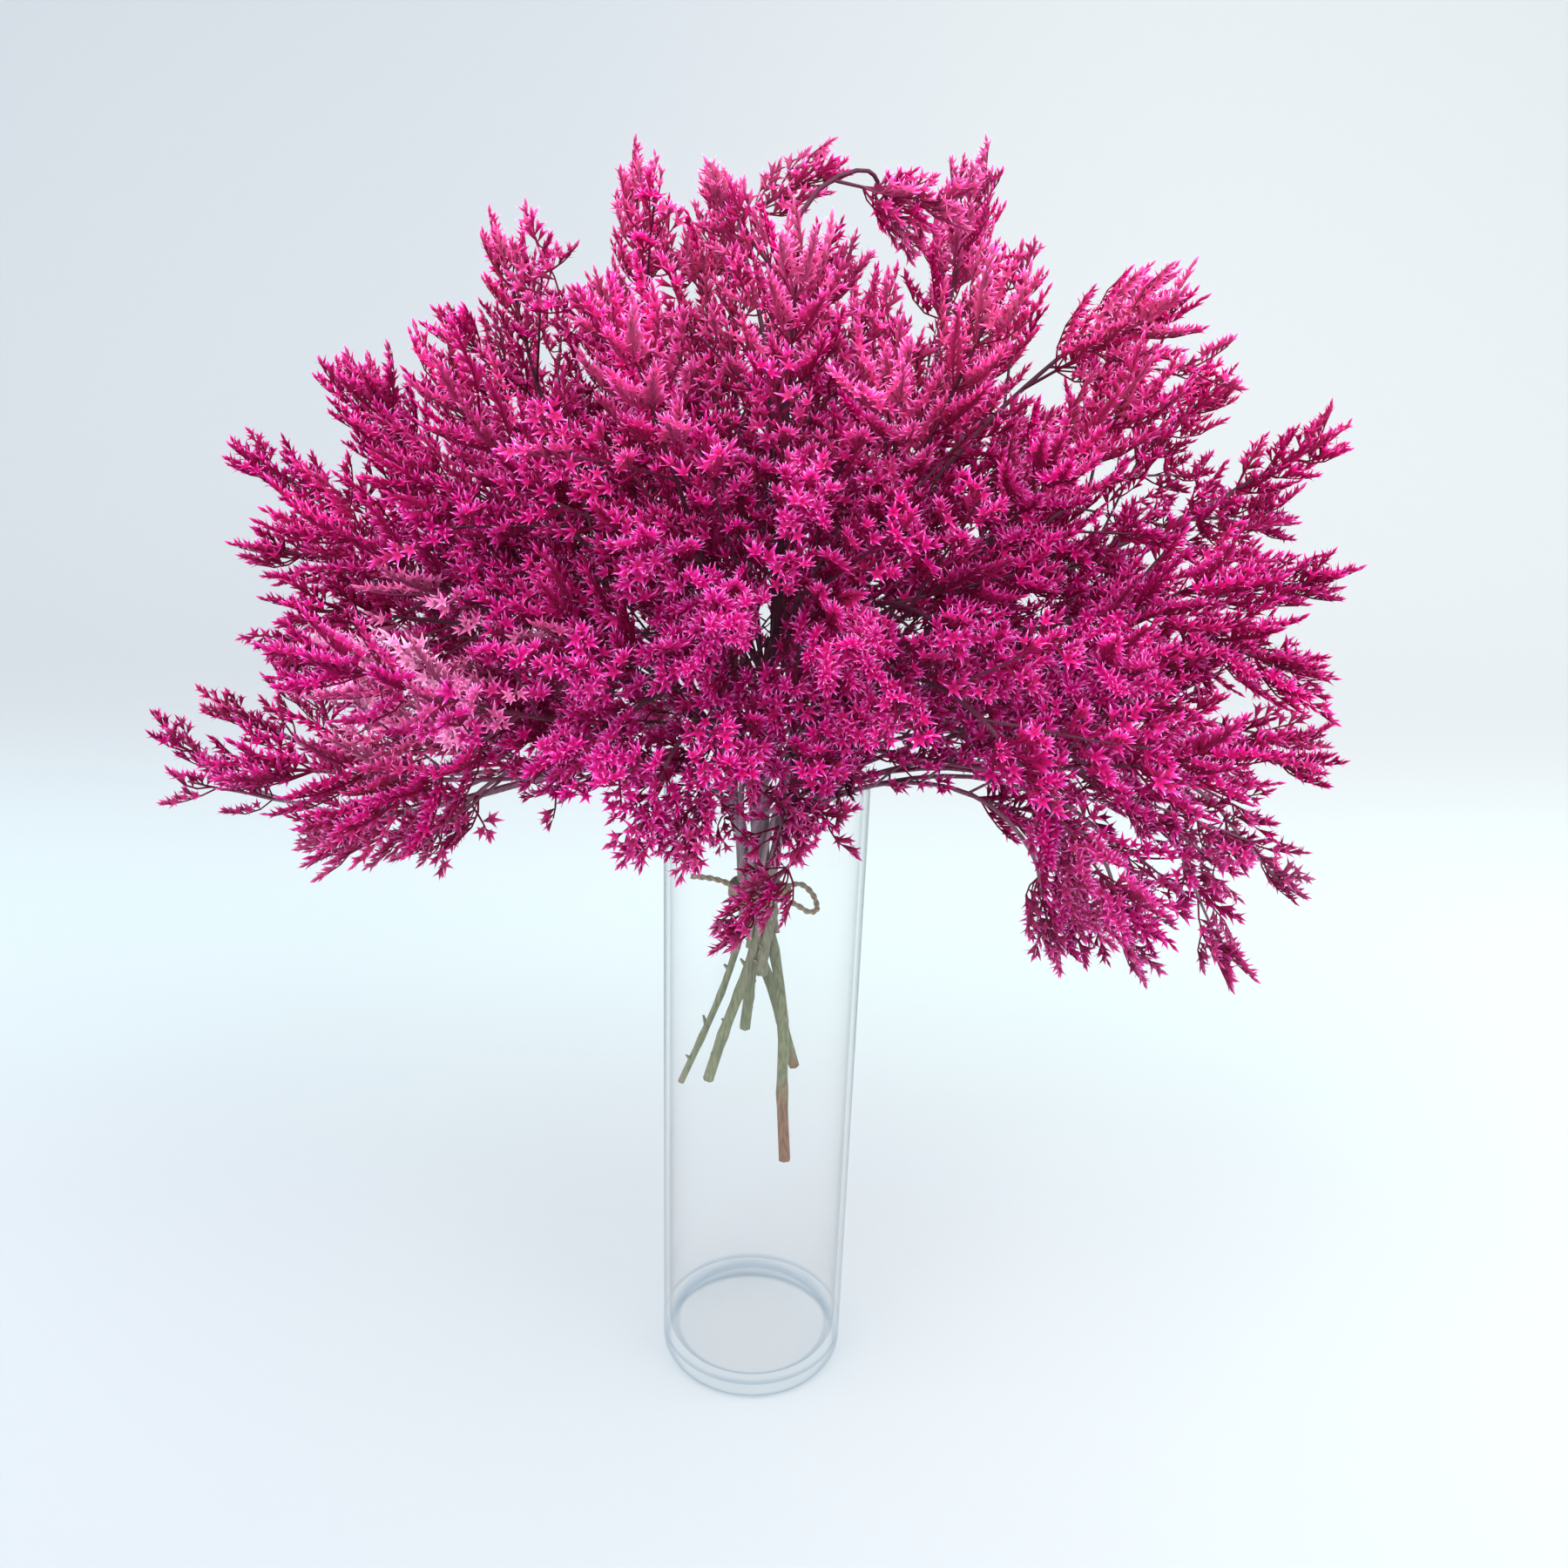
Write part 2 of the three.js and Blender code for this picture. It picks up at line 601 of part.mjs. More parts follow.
const lines = stems.map((stem) => ({ stem, points: stemPoints(stem), radius: stem.butt }));
const shoots = [];
const branches = growTips(lines, shoots);
growSides(branches, lines, shoots);

const bunch = new THREE.Group();
bunch.add(vaseMesh(glass), twineMesh(jute));
for (const stem of stems) bunch.add(stemMesh(stem, branches, shoots, dyed));

export default bunch;
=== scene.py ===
import bpy, bmesh, math
import numpy as np
from mathutils import Matrix, Vector


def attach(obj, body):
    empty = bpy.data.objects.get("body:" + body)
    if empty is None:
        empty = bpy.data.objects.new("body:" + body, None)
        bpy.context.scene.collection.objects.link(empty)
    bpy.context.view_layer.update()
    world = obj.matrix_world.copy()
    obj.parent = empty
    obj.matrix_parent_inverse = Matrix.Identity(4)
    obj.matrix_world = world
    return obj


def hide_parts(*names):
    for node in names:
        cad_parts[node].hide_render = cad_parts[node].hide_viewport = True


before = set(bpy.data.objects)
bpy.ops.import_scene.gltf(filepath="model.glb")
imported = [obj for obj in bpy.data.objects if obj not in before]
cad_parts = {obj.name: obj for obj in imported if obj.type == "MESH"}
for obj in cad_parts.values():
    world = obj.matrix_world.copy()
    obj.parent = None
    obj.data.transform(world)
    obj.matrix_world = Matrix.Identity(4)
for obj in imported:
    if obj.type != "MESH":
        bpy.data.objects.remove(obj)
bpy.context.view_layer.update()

# Lengths are in millimetres and angles in degrees until a piece is made. Blender's own units are metres.
mm = 0.001
goldenAngle = 137.508

camera = {
    "place": (6.9, -581.5, 560.3),
    "down": 24.465,             # how far it looks below the horizontal
    "roll": 1.965,
    "focalPixels": 1783.9,      # for an image 1800 pixels wide
    "imageWidth": 1800,
    "sensor": 36,
    "nearest": 20, "furthest": 20000,
}


def addObject(name, data):
    obj = bpy.data.objects.new(name, data)
    bpy.context.scene.collection.objects.link(obj)
    return obj


def makeCamera():
    data = bpy.data.cameras.new("camera")
    data.sensor_width = camera["sensor"]
    data.lens = camera["sensor"] * camera["focalPixels"] / camera["imageWidth"]
    data.clip_start = camera["nearest"] * mm
    data.clip_end = camera["furthest"] * mm
    obj = addObject("camera", data)
    tilt = Matrix.Rotation(math.radians(90 - camera["down"]), 4, "X")
    roll = Matrix.Rotation(math.radians(camera["roll"]), 4, "Z")
    obj.matrix_world = Matrix.Translation(Vector(camera["place"]) * mm) @ tilt @ roll
    bpy.context.scene.camera = obj


makeCamera()
print("camera made")


def linear(hexColour):
    # sRGB hex to linear RGBA
    channels = [int(hexColour[i:i + 2], 16) / 255 for i in (0, 2, 4)]
    return [c / 12.92 if c <= 0.04045 else ((c + 0.055) / 1.055) ** 2.4 for c in channels] + [1]


def addNode(tree, kind, inputs, **settings):
    # Each input, by its name or number, is a value or the socket that feeds it.
    node = tree.nodes.new(kind)
    for name, value in settings.items():
        setattr(node, name, value)
    for key, value in inputs.items():
        if isinstance(value, bpy.types.NodeSocket):
            tree.links.new(value, node.inputs[key])
        else:
            node.inputs[key].default_value = value
    return node


def newMaterial(name):
    material = bpy.data.materials.new(name)
    material.use_nodes = True
    return material, material.node_tree, material.node_tree.nodes["Principled BSDF"]


def setRamp(node, stops):
    ramp = node.color_ramp
    while len(ramp.elements) < len(stops):
        ramp.elements.new(0.5)
    for element, (position, colour) in zip(ramp.elements, stops):
        element.position = position
        element.color = linear(colour)


floretLook = {
    # colours from the foot of the tube, at 0, to the points of the lobes, at 1
    "dyed": [(0.0, "600022"), (0.34, "9C063C"), (0.5, "C60C62"), (0.73, "EC34A6"), (1.0, "FFC4EC")],
    "faded": [(0.1, "A8688A"), (0.6, "F0B2D2"), (1.0, "FFE4F0")],
    "mottle": 0.35, "tones": (0.75, 1.25),         # patches per millimetre, and how dark and light they are
    "dyeSpots": 0.012, "dyeSpread": (0.35, 0.65),  # the same for the dye's own hue, and the noise it spans
    "hues": (0.481, 0.491),                        # 0.5 keeps the colour as it is
    "roughness": 0.7, "gloss": 0.08,
}


def dyedFloretMaterial():
    # Dried papery calyces, dipped in dye: matte, deep magenta, paler where the points of the lobes run thin.
    look = floretLook
    material, tree, shader = newMaterial("dyed_papery_calyx")
    bloom = addNode(tree, "ShaderNodeAttribute", {}, attribute_name="bloom").outputs["Fac"]
    # fade holds the faded sprays and, at the top of the bunch, a painted highlight
    fadeAndHighlight = addNode(tree, "ShaderNodeAttribute", {}, attribute_name="fadeAndHighlight").outputs["Fac"]
    shade = addNode(tree, "ShaderNodeAttribute", {}, attribute_name="shade").outputs["Fac"]
    dyed = addNode(tree, "ShaderNodeValToRGB", {"Fac": bloom})
    setRamp(dyed, look["dyed"])
    faded = addNode(tree, "ShaderNodeValToRGB", {"Fac": bloom})
    setRamp(faded, look["faded"])
    mixed = addNode(tree, "ShaderNodeMix", {0: fadeAndHighlight, 6: dyed.outputs["Color"], 7: faded.outputs["Color"]},
                    data_type="RGBA")
    place = addNode(tree, "ShaderNodeTexCoord", {}).outputs["Object"]
    mottle = addNode(tree, "ShaderNodeTexNoise", {
        "Vector": place, "Scale": look["mottle"] / mm, "Detail": 2.0})
    darkest, lightest = look["tones"]
    tone = addNode(tree, "ShaderNodeMath", {0: mottle.outputs["Fac"], 1: lightest - darkest, 2: darkest},
                   operation="MULTIPLY_ADD")
    # the shade attribute carries painted light and shade, besides each spike's own tone
    value = addNode(tree, "ShaderNodeMath", {0: tone.outputs["Value"], 1: shade}, operation="MULTIPLY")
    spots = addNode(tree, "ShaderNodeTexNoise", {"Vector": place, "Scale": look["dyeSpots"] / mm})
    hue = addNode(tree, "ShaderNodeMapRange", {
        "Value": spots.outputs["Fac"], "From Min": look["dyeSpread"][0], "From Max": look["dyeSpread"][1],
        "To Min": look["hues"][0], "To Max": look["hues"][1]})
    varied = addNode(tree, "ShaderNodeHueSaturation", {
        "Hue": hue.outputs["Result"], "Value": value.outputs["Value"], "Color": mixed.outputs["Result"]})
    tree.links.new(varied.outputs["Color"], shader.inputs["Base Color"])
    shader.inputs["Roughness"].default_value = look["roughness"]
    shader.inputs["Specular IOR Level"].default_value = look["gloss"]
    return material


twigLook = {
    # colours from the undyed stem to where the dye took best
    "stops": [(0.28, "7F8566"), (0.42, "8A7F72"), (0.56, "8E7482"), (0.78, "7C2E52"), (1.0, "561636")],
    "dyeFrom": 176, "dyeFull": 395,                # heights, once the wander is added
    "wander": 0.028, "wanderBy": 50,               # how the dye's edge strays, in waves per millimetre
    "brown": "85604C", "brownShare": 0.9,          # the lowest ends are withered
    "brownFrom": 182, "brownFull": 166,
    # Real ribs are about 0.3 mm apart, too fine to show, so the streaks are drawn three times as coarse.
    "streaks": 0.9, "streakLength": 0.12,          # per millimetre, and how much slower they change upwards
    "streakSpread": (0.3, 0.7), "streakTones": (0.66, 1.3),
    "ridges": 0.2, "ridgeStrength": 0.35,
    "roughness": 0.6,
}


def dyedTwigMaterial():
    # Dried herbaceous stems: olive below, stained mauve to burgundy above, fibrous and slightly satin.
    look = twigLook
    material, tree, shader = newMaterial("dried_stem")
    place = addNode(tree, "ShaderNodeTexCoord", {}).outputs["Object"]
    height = addNode(tree, "ShaderNodeSeparateXYZ", {"Vector": place}).outputs["Z"]
    wander = addNode(tree, "ShaderNodeTexNoise", {
        "Vector": place, "Scale": look["wander"] / mm, "Detail": 2.0})
    strayed = addNode(tree, "ShaderNodeMath", {
        0: wander.outputs["Fac"], 1: look["wanderBy"] * mm, 2: height},
        operation="MULTIPLY_ADD").outputs["Value"]
    dye = addNode(tree, "ShaderNodeMapRange", {
        "Value": strayed, "From Min": look["dyeFrom"] * mm, "From Max": look["dyeFull"] * mm})
    stained = addNode(tree, "ShaderNodeValToRGB", {"Fac": dye.outputs["Result"]})
    setRamp(stained, look["stops"])
    withered = addNode(tree, "ShaderNodeMapRange", {
        "Value": strayed, "From Min": look["brownFrom"] * mm, "From Max": look["brownFull"] * mm,
        "To Max": look["brownShare"]})
    patched = addNode(tree, "ShaderNodeMix", {
        0: withered.outputs["Result"], 6: stained.outputs["Color"], 7: linear(look["brown"])},
        data_type="RGBA")
    along = addNode(tree, "ShaderNodeMapping", {"Vector": place, "Scale": (1.0, 1.0, look["streakLength"])})
    streaks = addNode(tree, "ShaderNodeTexNoise", {
        "Vector": along.outputs["Vector"], "Scale": look["streaks"] / mm, "Detail": 3.0}).outputs["Fac"]
    tone = addNode(tree, "ShaderNodeMapRange", {
        "Value": streaks, "From Min": look["streakSpread"][0], "From Max": look["streakSpread"][1],
        "To Min": look["streakTones"][0], "To Max": look["streakTones"][1]})
    streaked = addNode(tree, "ShaderNodeHueSaturation", {
        "Value": tone.outputs["Result"], "Color": patched.outputs["Result"]})
    tree.links.new(streaked.outputs["Color"], shader.inputs["Base Color"])
    bump = addNode(tree, "ShaderNodeBump", {
        "Strength": look["ridgeStrength"], "Distance": look["ridges"] * mm, "Height": streaks})
    tree.links.new(bump.outputs["Normal"], shader.inputs["Normal"])
    shader.inputs["Roughness"].default_value = look["roughness"]
    return material


glassLook = {
    # what passes through it, from where it faces the eye, at 0, to where it turns away, at 1
    "facing": [(0.8, "FFFFFF"), (1.0, "C6D6E2")],
    # and up the foot: painted grey-blue refraction lines at the heel, then round the inside of the floor
    "foot": [(0.0, "FFFFFF"), (0.02, "E6EEF4"), (0.2, "FFFFFF"), (0.51, "FFFFFF"), (0.53, "DDE7EF"),
             (0.58, "DDE7EF"), (0.72, "FFFFFF")],
    "footHeight": 18,
    "straight": 0.02,                              # share reflected head-on, half that of index 1.5
    "steepness": 5.0,                              # and how late it grows as the wall turns away
    "roughness": 0.0,
}


def glassMaterial():
    # Clear soda-lime glass, drawn thin and fire-polished. It reflects sharply, most where the wall turns
    # away, and there light has a longer way through it, which gives the sides their grey-blue line.
    look = glassLook
    material, tree, shader = newMaterial("clear_soda_lime_glass")
    tree.nodes.remove(shader)
    facing = addNode(tree, "ShaderNodeLayerWeight", {"Blend": 0.5}).outputs["Facing"]
    tint = addNode(tree, "ShaderNodeValToRGB", {"Fac": facing})
    setRamp(tint, look["facing"])
    place = addNode(tree, "ShaderNodeTexCoord", {}).outputs["Object"]
    height = addNode(tree, "ShaderNodeSeparateXYZ", {"Vector": place}).outputs["Z"]
    share = addNode(tree, "ShaderNodeMapRange", {"Value": height, "From Max": look["footHeight"] * mm})
    # painted refraction lines, banded up the foot
    foot = addNode(tree, "ShaderNodeValToRGB", {"Fac": share.outputs["Result"]})
    setRamp(foot, look["foot"])
    both = addNode(tree, "ShaderNodeMix", {0: 1.0, 6: tint.outputs["Color"], 7: foot.outputs["Color"]},
                   data_type="RGBA", blend_type="MULTIPLY")
    through = addNode(tree, "ShaderNodeBsdfTransparent", {"Color": both.outputs["Result"]})
    gloss = addNode(tree, "ShaderNodeBsdfGlossy", {"Roughness": look["roughness"]})
    steep = addNode(tree, "ShaderNodeMath", {0: facing, 1: look["steepness"]}, operation="POWER")
    reflected = addNode(tree, "ShaderNodeMath", {
        0: steep.outputs["Value"], 1: 1 - look["straight"], 2: look["straight"]}, operation="MULTIPLY_ADD")
    seen = addNode(tree, "ShaderNodeMixShader", {
        0: reflected.outputs["Value"], 1: through.outputs["BSDF"], 2: gloss.outputs["BSDF"]})
    tree.links.new(seen.outputs["Shader"], tree.nodes["Material Output"].inputs["Surface"])
    return material


juteLook = {
    "stops": [(0.3, "796B52"), (0.7, "B9AB8F")],   # between the fibres, and on them
    "fibres": 2.5,                                 # per millimetre, coarser than real ones, so that they show
    "fuzz": 0.15, "fuzzStrength": 0.5,
    "roughness": 0.9,
}


def juteMaterial():
    # Two-ply jute: dull golden-brown fibres, paler where they stand out of the ply.
    look = juteLook
    material, tree, shader = newMaterial("two_ply_jute")
    place = addNode(tree, "ShaderNodeTexCoord", {}).outputs["Object"]
    fibres = addNode(tree, "ShaderNodeTexNoise", {
        "Vector": place, "Scale": look["fibres"] / mm, "Detail": 4.0}).outputs["Fac"]
    colour = addNode(tree, "ShaderNodeValToRGB", {"Fac": fibres})
    setRamp(colour, look["stops"])
    tree.links.new(colour.outputs["Color"], shader.inputs["Base Color"])
    bump = addNode(tree, "ShaderNodeBump", {
        "Strength": look["fuzzStrength"], "Distance": look["fuzz"] * mm, "Height": fibres})
    tree.links.new(bump.outputs["Normal"], shader.inputs["Normal"])
    shader.inputs["Roughness"].default_value = look["roughness"]
    return material


floretMaterial = dyedFloretMaterial()
twigMaterial = dyedTwigMaterial()
vaseMaterial = glassMaterial()
twineMaterial = juteMaterial()
print("materials made")

# The skeleton repeats the part's own rule, so that each spray lies on its solid.
vase = {"height": 300, "radius": 42.5, "wall": 2.6, "floor": 9, "heel": 4, "innerHeel": 7}
# The stems stand in a ring round a middle one where they are tied, and the bunch leans to the left there.
tie = {"height": 246, "ringRadius": 6.3, "stemRadius": 2.6, "swirl": 36, "untwist": 1.6, "shift": -3}
twine = {"radius": 1.3, "turns": 3, "gap": 0.9}

# each stem's name, the middle of its sector of the crown, its cut end and the radius there
stems = [
    {"name": "crown", "sector": None, "cut": (9, 140, 173), "butt": 2.6},
    {"name": "left", "sector": 198, "cut": (21, 41, 148), "butt": 2.6},
    {"name": "front", "sector": 270, "cut": (35, 178, 146), "butt": 1.7},
    {"name": "right", "sector": 342, "cut": (26, 212, 158), "butt": 2.4},
    {"name": "back_right", "sector": 54, "cut": (13, 270, 212), "butt": 2.6},
    {"name": "back_left", "sector": 126, "cut": (22, 306, 119), "butt": 2.7},
]
sector = {"half": 36, "edge": 3}
crownRadius = 72                # branches that end nearer to the axis than this grow from the crown's stem
stemTop = {"height": 338, "lean": 20, "bend": 1.6, "radius": 1.6}
stemRod = {"spread": 1.5, "stepsBelow": 4, "stepsAbove": 4}

# azimuth, distance from the axis, height, pitch, size and turn aside of the sprays that shape the bunch
outline = [
    (4, 232, 312, -14, 0.65),
    (352, 214, 268, -46, 0.65),
    (342, 192, 248, -62, 0.7),
    (341, 158, 238, -70, 0.65),
    (336, 127, 246, -74, 0.55),
    (338, 164, 270, -56, 0.6),
    (342, 164, 300, -40, 0.6),
    (354, 212, 398, 14, 0.7),
    (10, 226, 440, 30, 0.7),
    (23, 202, 452, 36, 0.75),
    (21, 160, 494, 35, 0.7),
    (29, 82, 536, 80, 0.7),
    (180, 247, 312, 38, 0.55),
    (174, 237, 316, 26, 0.6),
    (186, 187, 272, -16, 0.55),
    (194, 145, 276, -40, 0.55),
    (171, 218, 420, 32, 0.65),
    (177, 208, 386, 8, 0.7),
    (186, 187, 372, 6, 0.7),
    (168, 178, 453, 60, 0.65),
    (161, 150, 448, 50, 0.75),
    (155, 123, 503, 74, 0.7),
    (139, 90, 478, 70, 0.75),
    (236, 134, 350, -8, 0.7),
    (248, 122, 318, -36, 0.6),
    (253, 100, 306, -40, 0.5),
    (259, 73, 262, -50, 0.56, -62),
    (281, 73, 306, -50, 0.5),
    (268, 84, 332, -36, 0.75),
    (284, 128, 392, -4, 0.8),
    (262, 126, 404, 4, 0.8),
    (288, 112, 361, -14, 0.65),
    (310, 134, 380, -12, 0.7),
    (306, 166, 356, -24, 0.7),
    (247, 118, 426, 20, 0.8),
    (277, 104, 448, 30, 0.8),
    (151, 64, 532, 86, 0.7),
    (140, 42, 508, 80, 0.9),
    (22, 54, 504, -50, 0.5),
    (64, 48, 532, 28, 0.55, -64),
    (110, 76, 522, 72, 0.8),
]
# The rest of the crown is filled evenly over a dome, from its top down to an angle off the vertical.
dome = {"height": 300, "reach": 212, "rise": 232, "count": 60, "lowest": 95, "apart": 15, "outward": 0.95}
# Side sprays stay within a share of the way to the dome, and above its underside.
bounds = {"share": 1.02, "underside": 268, "droop": 12}
# In front the crown stops higher, and higher still to the right, so that the vase's mouth stays open.
frontEdge = {"height": 291, "slope": 0.52, "tilt": 0.25, "tiltReach": 50, "halfWidth": 120}
# A branch to a low end starts low on its stem, and is lifted by steps until it clears the rim.
branch = {"radius": 1.3, "steps": 5, "lowStart": 262, "highStart": 330, "rimGap": 0.8}
endHeights = {"low": 220, "high": 500}
arch = {"lean": 0.1, "highLean": 0.1, "arrive": 0.38, "lift": 0.3, "liftStep": 0.04, "lifts": 25}
turnDone = 0.55                 # share of a branch within which it turns to its own azimuth
plume = {"length": 84, "radius": 24, "girth": 0.8, "sunk": 0.4}
plumeRings = [(0.2, 1), (0.41, 0.9), (0.62, 0.66), (0.83, 0)]          # share of the length, and of the reach
spikeShape = {"lean": 0.22, "leanSpread": 0.08, "shortest": 0.75}
# Side sprays leave the branch at these shares of its length, turned round it from branch to branch.
sidePlumes = {"stations": (0.92, 0.68), "splay": 42, "branchTurn": 107, "tries": 14}
sideSizes = {"shrink": 0.06, "smallest": 0.72, "overTip": 1.3}
tipSizes = (1, 0.88, 0.76, 0.64)
nodeGap = 0.6                   # between a spray and another stem's
vaseGap = 1                     # and the vase
crowding = {"sameStem": 0.78, "sameBranch": 0.85}       # shares of their radii that two sprays keep apart
upward = np.array([0, 0, 1.0])


def at(radius, azimuth, height):
    turn = math.radians(azimuth)
    return np.array([radius * math.cos(turn), radius * math.sin(turn), height])


def mix(a, b, share):
    return a + (b - a) * share


def unit(vector):
    return vector / np.linalg.norm(vector)


def clamp(value, low, high):
    return max(low, min(high, value))


def turnFrom(a, b):
    # the turn from one azimuth to another, from -180 to 180
    return (b - a + 540) % 360 - 180


def turnedAround(vector, axis, angle):
    # the vector turned round a unit axis by an angle in radians
    return (vector * math.cos(angle) + np.cross(axis, vector) * math.sin(angle)
            + axis * (axis @ vector) * (1 - math.cos(angle)))


def makeDraw(seed):
    # a seeded draw from 0 to 1, the same one as the part's
    state = [seed]

    def draw():
        state[0] = (state[0] * 1664525 + 1013904223) & 0xFFFFFFFF
        return state[0] / 4294967296
    return draw


def stemPoint(stem, height):
    cutRadius, cutAzimuth, cutHeight = stem["cut"]
    below = max(0, (tie["height"] - height) / (tie["height"] - cutHeight))
    above = max(0, (height - tie["height"]) / (stemTop["height"] - tie["height"]))
    central = stem["sector"] is None
    place = cutAzimuth if central else stem["sector"] - tie["swirl"]
    swing = (place - cutAzimuth + 360) % 360
    azimuth = place - swing * (1 - (1 - below) ** 2) + tie["swirl"] * min(1, tie["untwist"] * above)
    lean = 0 if central else stemTop["lean"] * above ** stemTop["bend"]
    radius = mix(0 if central else tie["ringRadius"], cutRadius, below ** stemRod["spread"]) + lean
    point = at(radius, azimuth, height)
    point[0] += tie["shift"] * (1 - below) * (1 - above)
    return point


def stemPoints(stem):
    below, above = stemRod["stepsBelow"], stemRod["stepsAbove"]
    heights = [mix(stem["cut"][2], tie["height"], i / below) for i in range(below)]
    heights += [mix(tie["height"], stemTop["height"], i / above) for i in range(above + 1)]
    return [stemPoint(stem, height) for height in heights]


def lowestAt(x, y):
    # the underside of the bunch in front, which rises towards the back
    aside = clamp(x, -frontEdge["tiltReach"], frontEdge["tiltReach"])
    return frontEdge["height"] - frontEdge["slope"] * y + frontEdge["tilt"] * aside


def domeWay(end):
    return unit(at(end["radius"], end["azimuth"], end["height"] - dome["height"]))


def branchEnds():
    # the outline's sprays, and those that fill the dome between them in a spiral
    keys = ("azimuth", "radius", "height", "pitch", "size", "sweep")
    ends = [dict(zip(keys, (*row, 0)[:6])) for row in outline]
    ways = [domeWay(end) for end in ends]
    nearest = math.cos(math.radians(dome["apart"]))
    for i in range(dome["count"]):
        cosine = 1 - (i + 0.5) / dome["count"] * (1 - math.cos(math.radians(dome["lowest"])))
        polar = math.acos(cosine)
        azimuth = i * goldenAngle % 360
        radius = dome["reach"] * math.sin(polar)
        x, y, _ = at(radius, azimuth, 0)
        height = max(dome["height"] + dome["rise"] * cosine, lowestAt(x, y))
        pitch = 90 - dome["outward"] * math.degrees(polar)
        end = dict(zip(keys, (azimuth, radius, height, pitch, 1, 0)))
        if all(way @ domeWay(end) <= nearest for way in ways):
            ends.append(end)
    return ends


def stemFor(end):
    if end["radius"] < crownRadius:
        return stems[0]
    return next(s for s in stems[1:] if abs(turnFrom(s["sector"], end["azimuth"])) <= sector["half"])


def clearsRim(track):
    margin = branch["radius"] + branch["rimGap"]
    for a, b in zip(track, track[1:]):
        for share in (0.2, 0.4, 0.6, 0.8, 1):
            x, y = mix(a, b, share)
            over = y > vase["height"] + margin
            within = x < vase["radius"] - vase["wall"] - margin
            if not (over or within or x > vase["radius"] + margin):
                return False
    return True


def bezierAt(t, p0, p1, p2, p3):
    return (np.outer((1 - t) ** 3, p0) + np.outer(3 * (1 - t) ** 2 * t, p1)
            + np.outer(3 * (1 - t) * t ** 2, p2) + np.outer(t ** 3, p3))


def evenBezier(corners, steps):
    # points along a cubic Bezier curve at even distances
    t = np.linspace(0, 1, 201)
    stretches = np.linalg.norm(np.diff(bezierAt(t, *corners), axis=0), axis=1)
    lengths = np.concatenate([[0], np.cumsum(stretches)])
    return bezierAt(np.interp(np.linspace(0, lengths[-1], steps + 1), lengths, t), *corners)


def growBranch(end, size):
    # an arched branch from its stem, over the rim, to the foot of its spray
    stem = stemFor(end)
    high = clamp((end["height"] - endHeights["low"]) / (endHeights["high"] - endHeights["low"]), 0, 1)
    start = stemPoint(stem, mix(branch["lowStart"], branch["highStart"], high))
    central = stem["sector"] is None
    startAzimuth = end["azimuth"] if central else math.degrees(math.atan2(start[1], start[0]))
    most = sector["half"] - sector["edge"]
    tipAzimuth = end["azimuth"]
    if not central:
        tipAzimuth = stem["sector"] + clamp(turnFrom(stem["sector"], end["azimuth"]), -most, most)
    arrival = np.array([math.cos(math.radians(end["pitch"])), math.sin(math.radians(end["pitch"]))])
    way = at(arrival[0], tipAzimuth + end["sweep"], arrival[1])
    base = at(end["radius"], tipAzimuth, end["height"]) - way * plume["length"] * size
    outward = base @ at(1, tipAzimuth, 0)
    aside = math.atan(base @ at(1, tipAzimuth + 90, 0) / outward)
    azimuth = tipAzimuth + math.degrees(aside)
    begin = np.array([math.hypot(start[0], start[1]), start[2]])
    to = np.array([outward / math.cos(aside), base[2]])
    span = np.linalg.norm(to - begin)
    rise = np.array([arch["lean"] + arch["highLean"] * high, 1])
    for i in range(arch["lifts"]):
        leave = begin + rise * span * (arch["lift"] + arch["liftStep"] * i)
        track = evenBezier((begin, leave, to - arrival * arch["arrive"] * span, to), branch["steps"])
        if clearsRim(track):
            break
    points = []
    for i, (radius, height) in enumerate(track):
        part = clamp(i / branch["steps"] / turnDone, 0, 1)
        turned = turnFrom(startAzimuth, azimuth) * part * part * (3 - 2 * part)
        points.append(at(radius, startAzimuth + turned, height))
    points[0] = start
    return {"stem": stem, "points": points, "way": way, "radius": branch["radius"]}


def segmentGaps(a, b, starts, ends):
    # the least distances from one segment to each of many
    u, v, w = b - a, ends - starts, a - starts
    uu, uv, vv = u @ u, v @ u, (v * v).sum(1)
    uw, vw = w @ u, (v * w).sum(1)
    den = uu * vv - uv * uv
    safe = np.where(den < 1e-9, 1, den)
    s = np.where(den < 1e-9, 0, np.clip((uv * vw - vv * uw) / safe, 0, 1))
    t = (uv * s + vw) / vv
    outside = (t < 0) | (t > 1)
    t = np.clip(t, 0, 1)
    s = np.where(outside, np.clip((uv * t - uw) / uu, 0, 1), s)
    return np.linalg.norm(w + s[:, None] * u - t[:, None] * v, axis=1)


def segmentsOf(lines):
    # every straight stretch of the lines, with its radius and its stem
    rows = [(a, b, line["radius"], stems.index(line["stem"]))
            for line in lines for a, b in zip(line["points"], line["points"][1:])]
    return [np.array(column) for column in zip(*rows)]


def axesOf(shoots):
    # every shoot's axis, with its radius and its stem
    rows = [(s["base"], s["end"], s["radius"], stems.index(s["stem"])) for s in shoots]
    return [np.array(column) for column in zip(*rows)]


